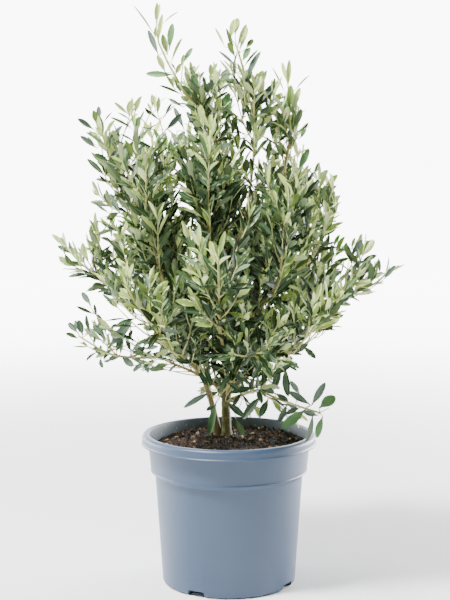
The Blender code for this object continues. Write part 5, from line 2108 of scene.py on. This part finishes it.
    def build(self) -> None:
        """Grow every mass, then join and dress the twigs and the leaves of each storey."""
        self.grow_all()
        self.skins = [TwigSkin("twig_" + skin.label, *skin.value).material() for skin in Skin]
        uppers = [LeafSide("leaf_" + tint.label, tint.value[0], 0.40, 0.00004) for tint in LeafTint]
        unders = [LeafSide(f"leaf_{tint.label}_under", tint.value[1], 0.62, 0.00008) for tint in LeafTint]
        self.sides = [[side.material() for side in sides] for sides in (uppers, unders)]
        self.rib = LeafSide("leaf_midrib", RIB_COLOUR, 0.5, 0.00004).material()
        stock = hidden_collection("leaf_blades", [blade.mesh("blade") for blade in BLADES])
        for tier in Tier:
            nodes = [mass.name + "_foliage" for mass in MASSES if self.habit_of(mass).tier is tier]
            mount(self.twig_piece(tier), "foliage", *nodes)
            mount(self.leaf_piece(tier, stock), "foliage", *nodes)
            twigs, leaves = len(self.strands[tier]), len(self.leaves[tier])
            log.info("%s storey: %d twigs, %d leaves", tier.value, twigs, leaves)
        remove_collection(stock)


# Studio


@dataclass
class Studio:
    """Pale paper sweep, soft lights and the camera at the photo's angle."""

    focal: float = 82.7
    sensor: float = 36.0
    camera_place: Triple = (-0.0054, -1.8606, 0.5948)
    camera_pitch: float = 0.11
    paper_reach: float = 6.5
    paper_bend: float = 2.2
    paper_height: float = 4.5
    paper_sides: int = 96
    sky: float = 0.07

    def sweep(self) -> Object:
        """Make the paper: a round floor that bends up into a wall on every side.

        Returns:
            The paper.
        """
        profile = [(0.6, 0.0), (2.0, 0.0)]
        for step in range(13):
            angle = math.pi / 2 * step / 12
            reach = self.paper_reach - self.paper_bend + self.paper_bend * math.sin(angle)
            profile.append((reach, self.paper_bend * (1.0 - math.cos(angle))))
        profile.append((self.paper_reach, self.paper_height))
        turns = [math.tau * side / self.paper_sides for side in range(self.paper_sides)]
        points = [around(reach, turn, height) for reach, height in profile for turn in turns]
        faces = [face[::-1] for face in ring_faces(len(profile), self.paper_sides)]
        faces.append(tuple(range(self.paper_sides)))
        mesh = bpy.data.meshes.new("studio_paper")
        mesh.from_pydata([tuple(point) for point in points], [], faces)
        mesh.shade_smooth()
        mesh.materials.append(BackdropPaper().material())
        return add_object("studio_paper", mesh)

    def build(self) -> None:
        """Set up paper, world, lights and camera."""
        self.sweep()
        world = bpy.data.worlds.new("studio")
        world.use_nodes = True
        world.node_tree.nodes["Background"].inputs["Color"].default_value = (1.0, 1.0, 1.0, 1.0)
        world.node_tree.nodes["Background"].inputs["Strength"].default_value = self.sky
        bpy.context.scene.world = world
        self.light("key_light", (-1.1, -0.8, 2.5), 0.5, 236.0)
        self.light("left_rim_light", (-2.0, 0.9, 0.5), 1.4, 62.0)
        self.light("right_rim_light", (1.8, 1.3, 0.5), 1.4, 165.0)
        camera = bpy.data.cameras.new("camera")
        camera.lens = self.focal
        camera.sensor_width = self.sensor
        obj = add_object("camera", camera)
        obj.location = self.camera_place
        obj.rotation_euler = (math.pi / 2 - self.camera_pitch, 0.0, 0.0)
        bpy.context.scene.camera = obj

    def light(self, name: str, place: Triple, size: float, power: float) -> None:
        """Add one soft square light that looks at the crown.

        Args:
            name: The light's name.
            place: Where it hangs.
            size: Its side.
            power: Its power in watts.
        """
        data = bpy.data.lights.new(name, "AREA")
        data.size = size
        data.energy = power
        obj = add_object(name, data)
        obj.location = place
        aim = Vector((0.0, 0.0, 0.35)) - Vector(place)
        obj.rotation_euler = aim.to_track_quat("-Z", "Y").to_euler()


def main() -> None:
    """Build the studio, the pot, the compost and the plant."""
    logging.basicConfig(level=logging.INFO, format="%(name)s: %(message)s")
    Studio().build()
    pot = Pot()
    pot.build()
    compost = Compost(pot)
    compost.build()
    framework = Framework(compost)
    framework.build()
    Foliage(framework, pot).build()
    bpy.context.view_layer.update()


if __name__ == "__main__":
    main()
